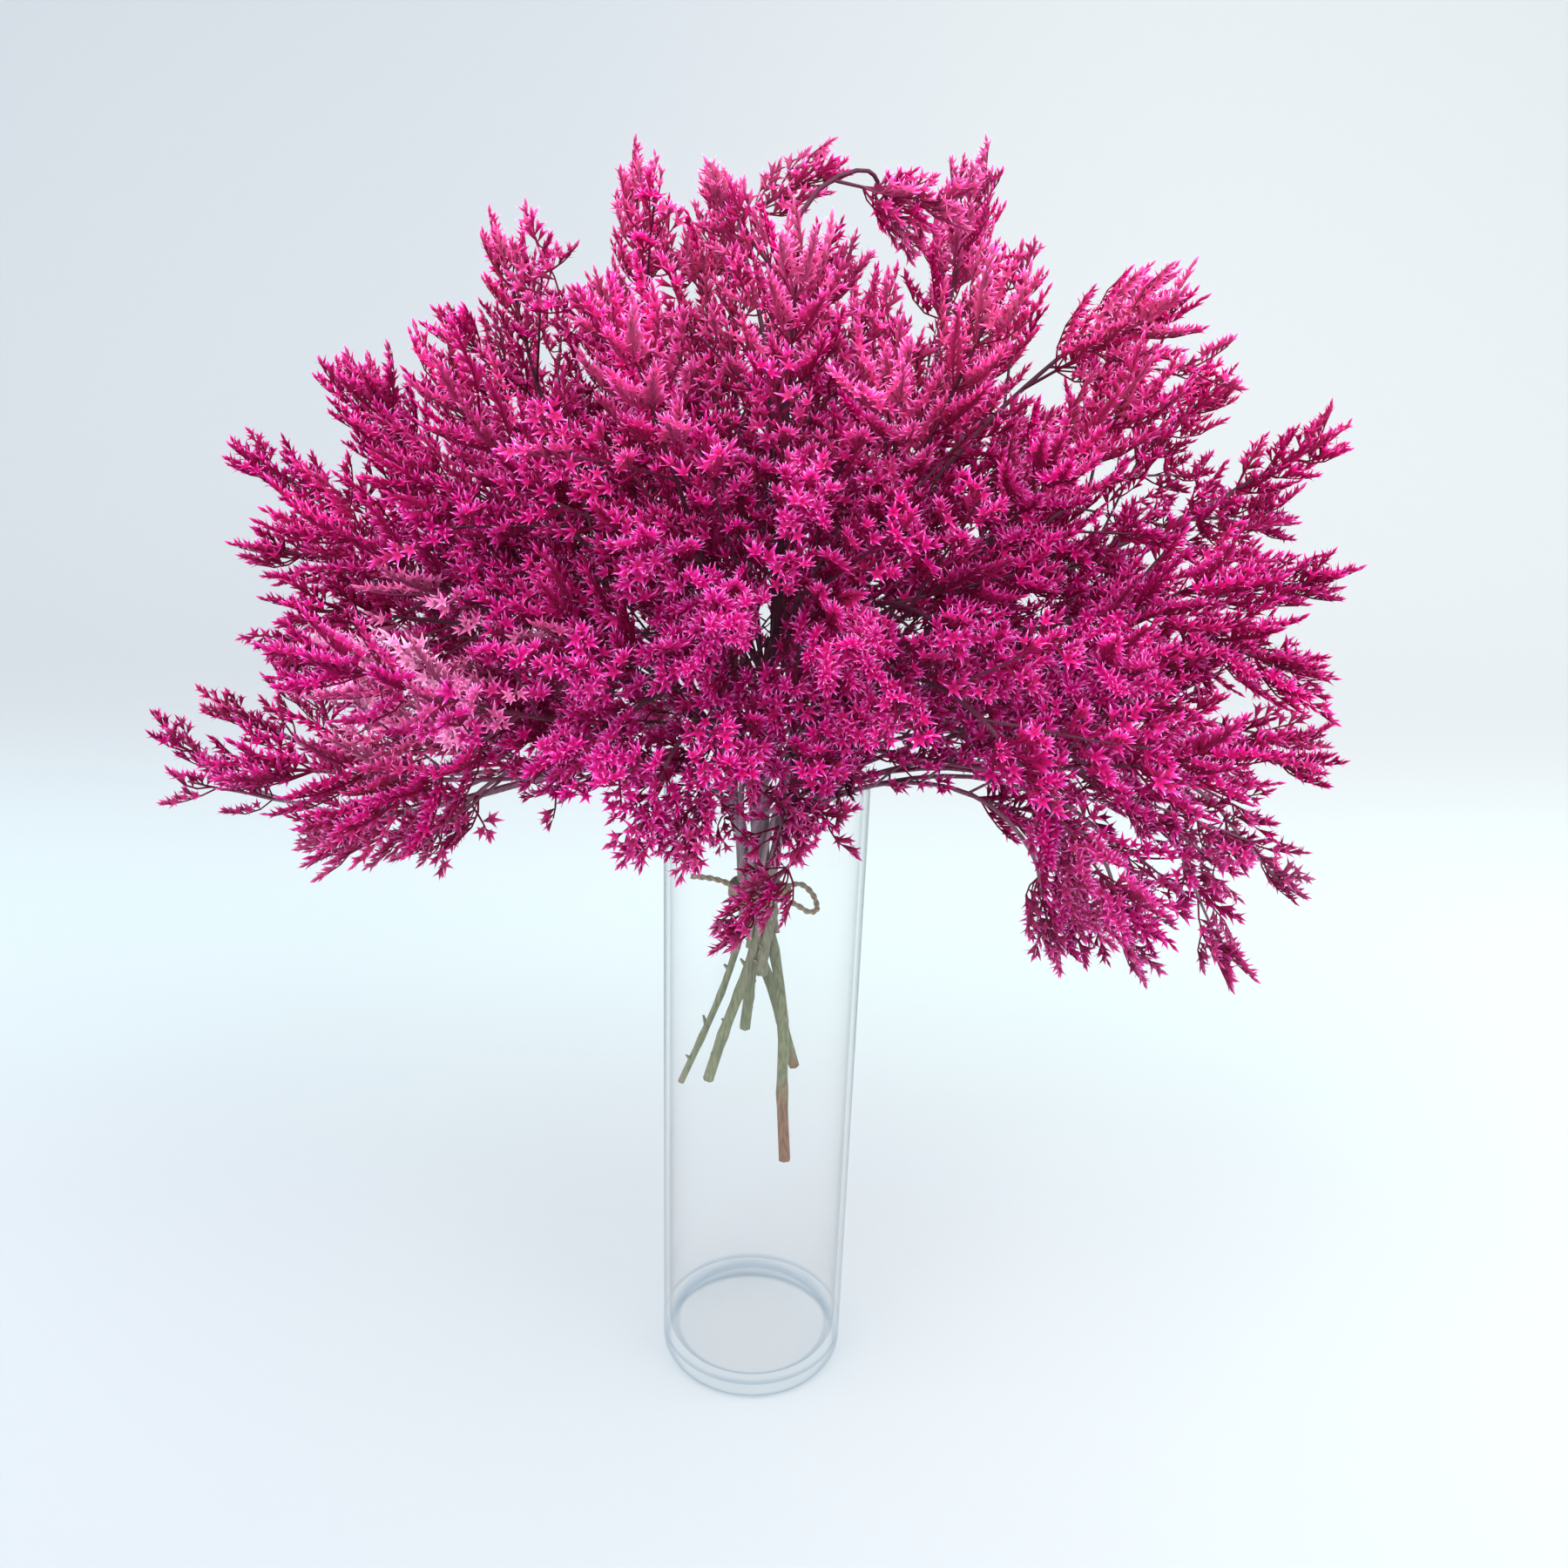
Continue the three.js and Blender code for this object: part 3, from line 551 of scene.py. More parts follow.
def plumeFits(shoot, segments, shoots):
    reach = shoot["radius"] + vaseGap
    for share in (0.25, 0.5, 0.75, 1):
        p = mix(shoot["base"], shoot["end"], share)
        if math.hypot(p[0], p[1]) < vase["radius"] + reach and p[2] < vase["height"] + reach:
            return False
    own = stems.index(shoot["stem"])
    starts, ends, radii, owners = segments
    gaps = segmentGaps(shoot["base"], shoot["end"], starts, ends)
    if np.any((owners != own) & (gaps < shoot["radius"] + radii + nodeGap)):
        return False
    if not shoots:
        return True
    starts, ends, radii, owners = axesOf(shoots)
    gaps = segmentGaps(shoot["base"], shoot["end"], starts, ends)
    sums = plume["girth"] * (shoot["radius"] + radii)
    sameBranch = np.array([s["branch"] is shoot["branch"] for s in shoots])
    apart = np.linalg.norm(ends - shoot["end"], axis=1)
    least = np.where(owners != own, sums + nodeGap, sums * crowding["sameStem"])
    tooNear = np.where(sameBranch, apart < sums * crowding["sameBranch"], gaps < least)
    return not tooNear.any()


def branchFits(grown, segments, shoots):
    own = stems.index(grown["stem"])
    for a, b in zip(grown["points"], grown["points"][1:]):
        starts, ends, radii, owners = segments
        if np.any((owners != own) & (segmentGaps(a, b, starts, ends) < grown["radius"] + radii + nodeGap)):
            return False
        if shoots:
            starts, ends, radii, owners = axesOf(shoots)
            if np.any((owners != own) & (segmentGaps(a, b, starts, ends) < radii + nodeGap)):
                return False
    return True


def makeShoot(grown, base, way, size, atTip):
    length = plume["length"] * size
    return {"stem": grown["stem"], "branch": grown, "base": base, "way": way, "end": base + way * length,
            "length": length, "radius": plume["radius"] * size, "size": size, "atTip": atTip}


def growTips(lines, shoots):
    branches = []
    for end in branchEnds():
        segments = segmentsOf(lines)
        for size in tipSizes:
            grown = growBranch(end, size * end["size"])
            tip = makeShoot(grown, grown["points"][-1], grown["way"], size * end["size"], True)
            if branchFits(grown, segments, shoots) and plumeFits(tip, segments, shoots):
                break
        lines.append(grown)
        shoots.append(tip)
        branches.append(grown)
    return branches


def domeShare(point):
    # how far out in the dome a point lies, with 1 on its surface
    x, y, z = point
    return math.hypot(x / dome["reach"], y / dome["reach"], (z - dome["height"]) / dome["rise"])


def keepsOutline(shoot, tip):
    x, y, z = shoot["end"]
    if domeShare(shoot["end"]) > max(bounds["share"], domeShare(tip["end"])):
        return False
    if z < min(bounds["underside"], tip["end"][2] - bounds["droop"]):
        return False
    return abs(x) > frontEdge["halfWidth"] or z > lowestAt(x, y)


def pointAlong(grown, station):
    # a point at a share of a branch, and the branch's direction there
    points = grown["points"]
    step = min(branch["steps"] - 1, int(station * branch["steps"]))
    point = mix(points[step], points[step + 1], station * branch["steps"] - step)
    return point, unit(points[step + 1] - points[step])


def growSides(branches, lines, shoots):
    # the side sprays, each in the first free direction round its branch
    segments = segmentsOf(lines)
    tries = sidePlumes["tries"]
    for row, station in enumerate(sidePlumes["stations"]):
        for order, grown in enumerate(branches):
            tip = shoots[order]
            base, along = pointAlong(grown, station)
            side = unit(np.cross(along, (0, 0, 1)))
            for turn in range(2 * tries):
                second = turn >= tries
                full = sideSizes["smallest"] if second else 1 - sideSizes["shrink"] * row
                size = min(full, sideSizes["overTip"] * tip["size"])
                tried = (turn + (0.5 if second else 0)) * 360 / tries
                around = order * sidePlumes["branchTurn"] + row * goldenAngle + tried
                out = turnedAround(side, along, math.radians(around))
                splay = math.radians(sidePlumes["splay"])
                way = along * math.cos(splay) + out * math.sin(splay)
                shoot = makeShoot(grown, base, way, size, False)
                if keepsOutline(shoot, tip) and plumeFits(shoot, segments, shoots):
                    shoots.append(shoot)
                    break


def plumeSpine(shoot):
    rings = [{"centre": shoot["base"] + shoot["way"] * shoot["length"] * share,
              "reach": plume["radius"] * shoot["size"] * reach,
              "lean": spikeShape["lean"] * shoot["length"],
              "leanSpread": spikeShape["leanSpread"] * shoot["length"]} for share, reach in plumeRings]
    return rings + [{"centre": shoot["base"] + shoot["way"] * shoot["length"], "reach": 0}]


def shootSpine(shoot):
    root = shoot["base"] - shoot["way"] * plume["sunk"]
    if not shoot["atTip"]:
        return [{"centre": root, "reach": 0}] + plumeSpine(shoot)
    points = shoot["branch"]["points"]
    first = unit(points[1] - points[0])
    rings = [{"centre": points[0] + first * share * branch["radius"], "reach": 0} for share in (-1, 2)]
    rings += [{"centre": point, "reach": 0} for point in points[1:]]
    return rings + plumeSpine(shoot)


def spikesOf(shoot, draw):
    # where each spike of a plume leaves its axis, and its point, as the solid's faces are raised
    spine = shootSpine(shoot)
    side, frames = None, []
    for k, ring in enumerate(spine):
        before = spine[max(0, k - 1)]["centre"]
        along = unit(spine[min(len(spine) - 1, k + 1)]["centre"] - before)
        across = side
        if side is None:
            across = np.array([1.0, 0, 0]) if abs(along[2]) > 0.9 else upward
        side = unit(across - along * (across @ along))
        frames.append((along, side, np.cross(along, side)))
    spin = draw() * math.pi
    spikes = []
    for k in range(1, len(spine) - 2):
        if not spine[k]["reach"]:
            continue
        along, side, rise = frames[k]
        middle = mix(spine[k]["centre"], spine[k + 1]["centre"], 0.5)
        for i in range(3):
            for j in range(2):
                reach = spine[k]["reach"] * mix(spikeShape["shortest"], 1, draw())
                lean = spine[k]["lean"] + spine[k]["leanSpread"] * draw()
                angle = math.radians(120 * i + 60 * (k + 1 + j)) + spin
                tip = middle + (side * math.cos(angle) + rise * math.sin(angle)) * reach + along * lean
                spikes.append({"root": spine[k]["centre"], "tip": tip, "along": along})
    return spikes


lines = [{"stem": stem, "points": stemPoints(stem), "radius": stem["butt"]} for stem in stems]
shoots = []
branches = growTips(lines, shoots)
growSides(branches, lines, shoots)
print("skeleton grown:", len(branches), "branches,", len(shoots), "sprays")

# slighter sprays that fill the gaps between those of the solids
slight = {
    "stations": (1.0, 0.86, 0.72, 0.58, 0.44),     # shares of a branch at which they may leave it
    "splays": (24, 44), "turns": 9,
    "length": 66, "shrink": 0.9,                   # each station's are shorter than the one's before
    "clear": 10.5,                                 # how far their outer half stays from all other axes
    "share": 0.98, "within": 0.04,                 # how far out in the dome they reach, or inside their tip's
    "underside": 296, "overFront": 4,
    "spikes": 9, "spikesFrom": 0.28, "spikesTo": 0.86,
    "reach": 19, "endReach": 0.6, "reachVary": (0.8, 1), "lean": 0.2, "leanVary": (0.8, 1.4),
    # azimuth, distance and height of the points of those that hang over the front of the rim
    "overRim": [(250, 78, 307), (262, 69, 304), (273, 67, 296),
                (285, 67, 300), (297, 66, 308), (303, 60, 315)],
    "overRimDrop": 20,                             # how far below their twig's end they reach at least
}


def roomFor(base, end, tip, starts, ends):
    # the gap round the outer half of a slight spray, or 0 where it would leave the bunch
    x, y, z = end
    furthest = max(slight["share"], domeShare(tip["end"]) - slight["within"])
    if domeShare(end) > furthest or z < slight["underside"]:
        return 0
    if abs(x) < frontEdge["halfWidth"] and z < lowestAt(x, y) + slight["overFront"]:
        return 0
    return segmentGaps(mix(base, end, 0.5), end, starts, ends).min()


def growSlightSprays():
    starts = [shoot["base"] for shoot in shoots]
    ends = [shoot["end"] for shoot in shoots]
    grown = []
    for row, station in enumerate(slight["stations"]):
        length = slight["length"] * slight["shrink"] ** row
        for order, twig in enumerate(branches):
            base, along = pointAlong(twig, station)
            if base[2] < vase["height"] + vaseGap:
                continue
            side = unit(np.cross(along, (0, 0, 1)))
            best, gap = None, slight["clear"]
            for splay in slight["splays"]:
                lean = math.radians(splay)
                for turn in range(slight["turns"]):
                    around = math.radians(order * goldenAngle + turn * 360 / slight["turns"])
                    out = turnedAround(side, along, around)
                    end = base + (along * math.cos(lean) + out * math.sin(lean)) * length
                    free = roomFor(base, end, shoots[order], np.array(starts), np.array(ends))
                    if free > gap:
                        best, gap = end, free
            if best is not None:
                starts.append(base)
                ends.append(best)
                grown.append({"branch": twig, "base": base, "end": best, "length": length})
    for azimuth, radius, height in slight["overRim"]:
        end = at(radius, azimuth, height)
        above = [b for b in branches if b["points"][-1][2] > height + slight["overRimDrop"]]
        twig = min(above, key=lambda b: np.linalg.norm(b["points"][-1] - end))
        base = twig["points"][-1]
        grown.append({"branch": twig, "base": base, "end": end, "length": np.linalg.norm(end - base)})
    return grown


def slightSpikes(spray, vary):
    # short spikes in a spiral up a slight spray
    along = unit(spray["end"] - spray["base"])
    side = unit(np.cross(along, (0, 0, 1)))
    spikes = []
    for i in range(slight["spikes"]):
        share = mix(slight["spikesFrom"], slight["spikesTo"], i / (slight["spikes"] - 1))
        out = turnedAround(side, along, math.radians(i * goldenAngle) + vary())
        root = mix(spray["base"], spray["end"], share)
        reach = slight["reach"] * mix(1, slight["endReach"], share) * mix(*slight["reachVary"], vary())
        lean = spray["length"] * slight["lean"] * mix(*slight["leanVary"], vary())
        spikes.append({"root": root, "tip": root + out * reach + along * lean, "along": along})
    return spikes


slightSprays = growSlightSprays()
print("slighter sprays grown:", len(slightSprays))

floret = {
    "tube": 4.8, "throat": 1.2, "sunk": 0.9,       # a funnel-shaped calyx with its mouth sunk in
    "lobes": 5, "lobeReach": 4.2, "uneven": 0.35,  # how much shorter the shortest lobes are
    "openings": (1.0, 0.7, 0),                     # open star, half open, shut
    "riseOpen": 1.6, "riseBud": 3.4, "riseVary": (0.6, 1.4), "shutThroat": 0.7,
    "kinds": 4,                                    # of each opening
}
# where each place on a spike lies in the floret's colours
bloomAt = {"foot": 0.0, "rachis": 0.12, "mouth": 0.36, "rim": 0.4, "shutPoint": 0.95, "point": 1.0}


def meshFrom(bm, name):
    mesh = bpy.data.meshes.new(name)
    bm.to_mesh(mesh)
    bm.free()
    return mesh


def makeFloret(opening, draw):
    # A cone for the tube, with each lobe drawn out of a slice of its top. It has 20 faces at most.
    bm = bmesh.new()
    bloom = bm.verts.layers.float.new("bloom")
    wide = floret["throat"] * (1 if opening else floret["shutThroat"])
    bmesh.ops.create_cone(bm, cap_ends=True, cap_tris=True, segments=floret["lobes"],
                          radius1=0, radius2=wide, depth=floret["tube"])
    bmesh.ops.translate(bm, verts=bm.verts, vec=(0, 0, floret["tube"] / 2))
    bmesh.ops.remove_doubles(bm, verts=bm.verts, dist=0.01)
    top = [face for face in bm.faces if face.calc_center_median().z > floret["tube"] * 0.99]
    middle = min(bm.verts, key=lambda v: abs(v.co.z - floret["tube"]) * 10 + v.co.xy.length)
    for vert in bm.verts:
        vert[bloom] = bloomAt["rim"] if vert.co.z > floret["tube"] / 2 else bloomAt["foot"]
    points = bmesh.ops.poke(bm, faces=top)["verts"] if opening else []
    for point in points:
        long = 1 - floret["uneven"] * draw()
        flat = point.co.xy.normalized() * mix(floret["throat"], floret["lobeReach"] * long, opening)
        rise = mix(floret["riseBud"], floret["riseOpen"], opening) * mix(*floret["riseVary"], draw())
        point.co = Vector((flat.x, flat.y, floret["tube"] + rise))
        point[bloom] = bloomAt["point"]
    middle.co.z += -floret["sunk"] if opening else floret["riseBud"]
    middle[bloom] = bloomAt["mouth"] if opening else bloomAt["shutPoint"]
    return meshFrom(bm, "floret")


spikeLook = {
    "spacing": 1.8, "bare": 7.0, "overhang": 4.4,  # the last floret stands out past the rachis
    "shutFrom": 0.9, "shutLeast": 4,               # shut past this share of a spike with enough florets
    "halfFrom": 0.65, "halfShare": 0.4,            # half open past this one, and now and then before it
    "leanLow": 56, "leanTip": 24, "leanCurve": 1.3, "leanVary": 14,
    "spread": 42, "narrowing": 0.7, "spreadVary": 30,
    "smallest": 0.74, "sizeVary": (0.88, 1.12),
    "bows": (0.05, 0.1, 0.15), "rachis": 0.5, "rachisTip": 0.28, "rachisSteps": 3,
    "fewest": 2, "most": 18,
}


def spikeLength(count):
    return spikeLook["bare"] + spikeLook["spacing"] * (count - 1) + spikeLook["overhang"]


def bowed(bow, reach, share):
    # a point on a rachis that bows away from +X
    return Vector((-bow * reach * 4 * share * (1 - share), 0, reach * share))


def addRachis(bm, bow, reach):
    # a thin three-sided stalk, drawn out step by step
    look = spikeLook
    bloom = bm.verts.layers.float["bloom"]
    foot = bmesh.ops.create_circle(bm, cap_ends=True, segments=3, radius=look["rachis"])["verts"]
    face = foot[0].link_faces[0]
    for step in range(look["rachisSteps"]):
        before, after = step / look["rachisSteps"], (step + 1) / look["rachisSteps"]
        widthBefore, widthAfter = [mix(look["rachis"], look["rachisTip"], share) for share in (before, after)]
        drawn = bmesh.ops.extrude_face_region(bm, geom=[face])["geom"]
        if step:
            bmesh.ops.delete(bm, geom=[face], context="FACES_ONLY")
        face = next(g for g in drawn if isinstance(g, bmesh.types.BMFace))
        start = bowed(bow, reach, before)
        narrower = widthAfter / widthBefore
        bmesh.ops.scale(bm, verts=face.verts, vec=(narrower, narrower, 1), space=Matrix.Translation(-start))
        bmesh.ops.translate(bm, verts=face.verts, vec=bowed(bow, reach, after) - start)
    for vert in bm.verts:
        vert[bloom] = bloomAt["rachis"]


def openingAt(share, count, draw):
    # the place in the list of openings of a floret at a share of its spike
    look = spikeLook
    if share > look["shutFrom"] and count >= look["shutLeast"]:
        return 2
    return 1 if draw() < look["halfShare"] or share > look["halfFrom"] else 0


def makeSpike(count, bow, florets, draw):
    # A spike along +Z whose florets face +X, in two rows. It bows away from them, so its point curls up.
    look = spikeLook
    bm = bmesh.new()
    bm.verts.layers.float.new("bloom")
    reach = spikeLength(count) - look["overhang"]
    addRachis(bm, bow, reach)
    for i in range(count):
        share = i / max(1, count - 1)
        opening = openingAt(share, count, draw)
        side = 1 if i % 2 else -1
        lean = mix(look["leanLow"], look["leanTip"], share ** look["leanCurve"])
        lean = math.radians(lean + (draw() - 0.5) * look["leanVary"])
        spread = side * look["spread"] * (1 - look["narrowing"] * share)
        spread += (draw() - 0.5) * look["spreadVary"]
        size = mix(1, look["smallest"], share ** 2) * mix(*look["sizeVary"], draw())
        way = Vector(at(math.sin(lean), spread, math.cos(lean)))
        turn = way.to_track_quat("Z", "Y").to_matrix().to_4x4()
        root = bowed(bow, reach, min(1, (look["bare"] + look["spacing"] * i) / reach))
        place = Matrix.Translation(root) @ turn @ Matrix.Rotation(draw() * 2 * math.pi, 4, "Z")
        addMesh(bm, florets[opening][int(draw() * floret["kinds"])], place @ Matrix.Scale(size, 4))
    return meshFrom(bm, "spike")


def addMesh(bm, mesh, matrix):
    # adds a copy of a mesh and returns its vertices
    before = len(bm.verts)
    bm.from_mesh(mesh)
    bm.verts.ensure_lookup_table()
    added = bm.verts[before:]
    for vert in added:
        vert.co = matrix @ vert.co
    return added


def finishPiece(mesh, material, node, smooth):
    # shows the mesh in place of a node's solid
    mesh.materials.clear()
    mesh.materials.append(material)
    mesh.polygons.foreach_set("use_smooth", [smooth] * len(mesh.polygons))
    obj = addObject(mesh.name, mesh)
    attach(obj, "root")
    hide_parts(node)
    print(obj.name, "made,", len(mesh.polygons), "faces")


spikeDraw = makeDraw(5)
florets = [[makeFloret(opening, spikeDraw) for _ in range(floret["kinds"])]
           for opening in floret["openings"]]
spikeMeshes = {count: [makeSpike(count, bow, florets, spikeDraw) for bow in spikeLook["bows"]]
               for count in range(spikeLook["fewest"], spikeLook["most"] + 1)}
print("floret and spike patterns made")

sprays = {
    "faceForward": 0.8, "faceUp": 0.6, "faceVary": 0.5,      # how florets face the point and the light
    "astray": 3.0,                                           # how far a spike's point may stray
    "shadeVary": (0.8, 1.16),
    "lit": (0.96, 1.0, 1.36), "litHeights": (260, 400, 520),         # painted light, brighter towards the top
    "litOut": (0.95, 1.1), "litReach": (60, 210),                    # and painted lighter outwards
    # painted highlight: the fade that pales the top of the bunch, where the light falls most; it also pales
    # the underside a little
    "paleByHeight": (0.2, 0.03, 0.03, 0.3), "paleHeights": (270, 350, 430, 540),
    # places where the spray took little dye, how wide they are, and how much lighter they look
    "faded": [(-137, -80, 374, 28), (-74, -78, 391, 12), (-100, -112, 366, 16)],
    "fadedEdge": 1.5, "fadedVary": (0.55, 0.95), "fadedLift": 0.6,
    "withered": (35, -52, 312, 6), "witheredTone": 0.22,
    # the low sprays at the sides and back carry fewer spikes, and painted shade darkens them
    "airyHeights": (300, 350), "airyShares": (0.42, 0), "airyReach": 125, "underShade": 0.4,
    "endFrom": 0.66,                               # share of a spray's axis from which its end spike grows
    "endOver": 6,                                  # how far that of a branch stands out past its other spikes
}


def stray(vary):
    # a seeded vector with each side from -0.5 to 0.5
    return np.array([vary(), vary(), vary()]) - 0.5


def spikeMatrix(root, tip, facing, length):
    # lays a spike pattern from its root to its tip, with its florets to the side it faces
    along = unit(tip - root)
    out = unit(facing - along * (facing @ along))
    scale = np.linalg.norm(tip - root) / length
    columns = np.array([out, np.cross(along, out), along]) * scale
    matrix = Matrix([[*row, 0] for row in columns.T] + [[0, 0, 0, 1]])
    return Matrix.Translation(Vector(root)) @ matrix


def airyShare(point):
    # the share of spikes that sprays go without here
    if math.hypot(point[0], point[1]) < sprays["airyReach"]:
        return 0
    return np.interp(point[2], sprays["airyHeights"], sprays["airyShares"])


def fadeAndHighlightAt(point, vary):
    # the top paled as a painted highlight, a paler underside, and a few sprays that took little dye
    fadeAndHighlight = np.interp(point[2], sprays["paleHeights"], sprays["paleByHeight"]) * vary()
    for x, y, z, wide in sprays["faded"]:
        away = np.linalg.norm(point - np.array([x, y, z])) / wide
        fadeAndHighlight = max(fadeAndHighlight, clamp(sprays["fadedEdge"] - away, 0, 1) * mix(*sprays["fadedVary"], vary()))
    return fadeAndHighlight


def toneAt(point, vary):
    # how light a spike looks in its place: its own tone, painted light brighter at the top and outwards,
    # painted shade under the low sprays, and the dark withered florets
    tone = mix(*sprays["shadeVary"], vary())
    tone *= np.interp(point[2], sprays["litHeights"], sprays["lit"])
    tone *= np.interp(np.linalg.norm(point[:2]), sprays["litReach"], sprays["litOut"])
    # painted shade under the low sprays at the sides and back
    tone *= 1 - sprays["underShade"] * airyShare(point)
    x, y, z, wide = sprays["withered"]
    return sprays["witheredTone"] if np.linalg.norm(point - np.array([x, y, z])) < wide else tone


def endSpike(spray):
    # the slender one at the point of a spray, longest at the end of a branch
    root = mix(spray["base"], spray["end"], sprays["endFrom"])
    along = unit(spray["end"] - spray["base"])
    over = sprays["endOver"] if spray.get("atTip") else 0
    return {"root": root, "tip": spray["end"] + along * over, "along": along}


def slightSpraysOf(grown):
    return [spray for spray in slightSprays if spray["branch"] is grown]


def stemSpikes(stem, vary):
    draw = makeDraw(stems.index(stem) + 11)        # the part's own draws, in its own order
    airy = makeDraw(stems.index(stem) + 307)
    for grown in [b for b in branches if b["stem"] is stem]:
        for shoot in [s for s in shoots if s["branch"] is grown]:
            spikes = spikesOf(shoot, draw)
            ends = [endSpike(shoot)]
            if shoot["atTip"]:
                for spray in slightSpraysOf(grown):
                    spikes += slightSpikes(spray, vary)
                    ends.append(endSpike(spray))
            yield from [spike for spike in spikes if airy() >= airyShare(spike["tip"])] + ends


def makeSprays(stem):
    look = spikeLook
    name = "statice_stem_" + stem["name"]
    vary = makeDraw(stems.index(stem) + 101)
    bm = bmesh.new()
    bm.verts.layers.float.new("bloom")
    fadeAndHighlight = bm.verts.layers.float.new("fadeAndHighlight")
    shade = bm.verts.layers.float.new("shade")
    for spike in stemSpikes(stem, vary):
        root, tip = spike["root"], spike["tip"]
        length = np.linalg.norm(tip - root)
        count = 1 + round((length - look["bare"] - look["overhang"]) / look["spacing"])
        count = clamp(count, look["fewest"], look["most"])
        facing = spike["along"] * sprays["faceForward"] + upward * sprays["faceUp"]
        facing = facing + stray(vary) * sprays["faceVary"]
        matrix = spikeMatrix(root, tip + stray(vary) * 2 * sprays["astray"], facing, spikeLength(count))
        pattern = spikeMeshes[count][int(vary() * len(look["bows"]))]
        tone = toneAt(tip, vary)
        # the fade holds the top's painted highlight as well as the faded sprays, and the lift below makes
        # both lighter
        faded = fadeAndHighlightAt(tip, vary)
        for vert in addMesh(bm, pattern, matrix):
            vert[fadeAndHighlight] = faded
            vert[shade] = tone * (1 + sprays["fadedLift"] * faded)
    bmesh.ops.scale(bm, verts=bm.verts, vec=(mm, mm, mm))
    finishPiece(meshFrom(bm, name + "_florets"), floretMaterial, name, False)


for stem in stems:
    makeSprays(stem)

twigs = {
    "stemSteps": 4, "branchSteps": 3, "axisSteps": 3,
    "branchRadius": 1.15, "plumeRadius": 0.85, "endRadius": 0.4,
    "sideRadius": 0.75, "slightRadius": 0.6, "slightKinks": (0.3, 0.6, 0.9),
    "wobble": 0.5, "easing": 3,
    # a thin stem in the gap beside each: its lowest and highest points, and how far round it stands
    "thin": (218, 338), "thinVary": 14, "thinAside": 36, "asideVary": 8,
    "thinRadii": (1.5, 1.0), "thinSteps": 8,
    "knot": 1.16, "crook": 0.45,                   # stems swell and turn a little at each leaf scar
    "stubs": (2, 5, 10), "stub": 4.5,              # where side shoots broke off, and what is left of them
    "stubVary": (0.6, 1.2), "stubRise": (0.6, 1.6), "stubShares": (0.2, 0.6, 1.0), "stubRadii": (1.04, 0.48),
}


def smoothLine(points, steps):
    # a Catmull-Rom line through the points
    points = [np.asarray(p, float) for p in points]
    padded = [2 * points[0] - points[1], *points, 2 * points[-1] - points[-2]]
    line = []
    for p0, p1, p2, p3 in zip(padded, padded[1:], padded[2:], padded[3:]):
        for i in range(steps):
            t = i / steps
            line.append(0.5 * (2 * p1 + (p2 - p0) * t + (2 * p0 - 5 * p1 + 4 * p2 - p3) * t ** 2
                               + (3 * p1 - p0 - 3 * p2 + p3) * t ** 3))
    return line + [points[-1]]


def eased(line, rounds):
    # the same line with its sharp bends drawn rounder
    line = [np.asarray(p, float) for p in line]
    for _ in range(rounds):
        inner = [(a + 2 * b + c) / 4 for a, b, c in zip(line, line[1:], line[2:])]
        line = [line[0], *inner, line[-1]]
    return line


def tubeMesh(name, runs):
    # Tapered tubes along lines: each run is its points and radii in millimetres.
    curve = bpy.data.curves.new(name, "CURVE")
    curve.dimensions = "3D"
    curve.bevel_depth = mm
    curve.bevel_resolution = 1
    curve.use_fill_caps = True
    for points, radii in runs:
        spline = curve.splines.new("POLY")
        spline.points.add(len(points) - 1)
        for point, place, radius in zip(spline.points, points, radii):
            point.co = (*(np.asarray(place) * mm), 1)
            point.radius = radius
    obj = bpy.data.objects.new(name, curve)
    mesh = bpy.data.meshes.new_from_object(obj)
    bpy.data.objects.remove(obj)
    mesh.name = name
    return mesh


def thinStem(stem, vary):
    # cut off just below the tie
    look = twigs
    axis = np.array([tie["shift"], 0, 0])
    lowest, highest = look["thin"]
    points = []
    for height in np.linspace(lowest + look["thinVary"] * vary(), highest, look["thinSteps"]):
        around = math.radians(look["thinAside"] + look["asideVary"] * (vary() - 0.5))
        points.append(axis + turnedAround(stemPoint(stem, height) - axis, upward, around))
    line = smoothLine(points, look["axisSteps"])
    return line, np.linspace(*look["thinRadii"], len(line))


def stemRuns(stem, vary):
    # the stem itself, knotted at its leaf scars, the thin one beside it, and the stubs below the tie
    look = twigs
    points = stemPoints(stem)
    for i in range(1, stemRod["stepsBelow"] - 1):
        points[i] = points[i] + (np.array([vary(), vary(), 0.5]) - 0.5) * 2 * look["crook"]
    line = smoothLine(points, look["stemSteps"])
    radii = np.linspace(stem["butt"], stemTop["radius"], len(line))
    for i in range(look["stemSteps"], len(line) // 2, look["stemSteps"]):
        radii[i] *= look["knot"]
    runs = [(line, radii)]
    if stem["sector"] is not None:
        runs.append(thinStem(stem, vary))
    for i in look["stubs"]:
        out = turnedAround(np.array([1.0, 0, 0]), upward, vary() * 2 * math.pi)
        way = unit(out + upward * mix(*look["stubRise"], vary()))
        length = look["stub"] * mix(*look["stubVary"], vary())
        stub = [line[i] + way * share * length for share in look["stubShares"]]
        runs.append((stub, np.linspace(*look["stubRadii"], len(stub))))
    return runs


def kinked(spray, shares, vary):
    # points along a spray's axis, each a little off it
    return [mix(spray["base"], spray["end"], share) + stray(vary) * 2 * twigs["wobble"] for share in shares]


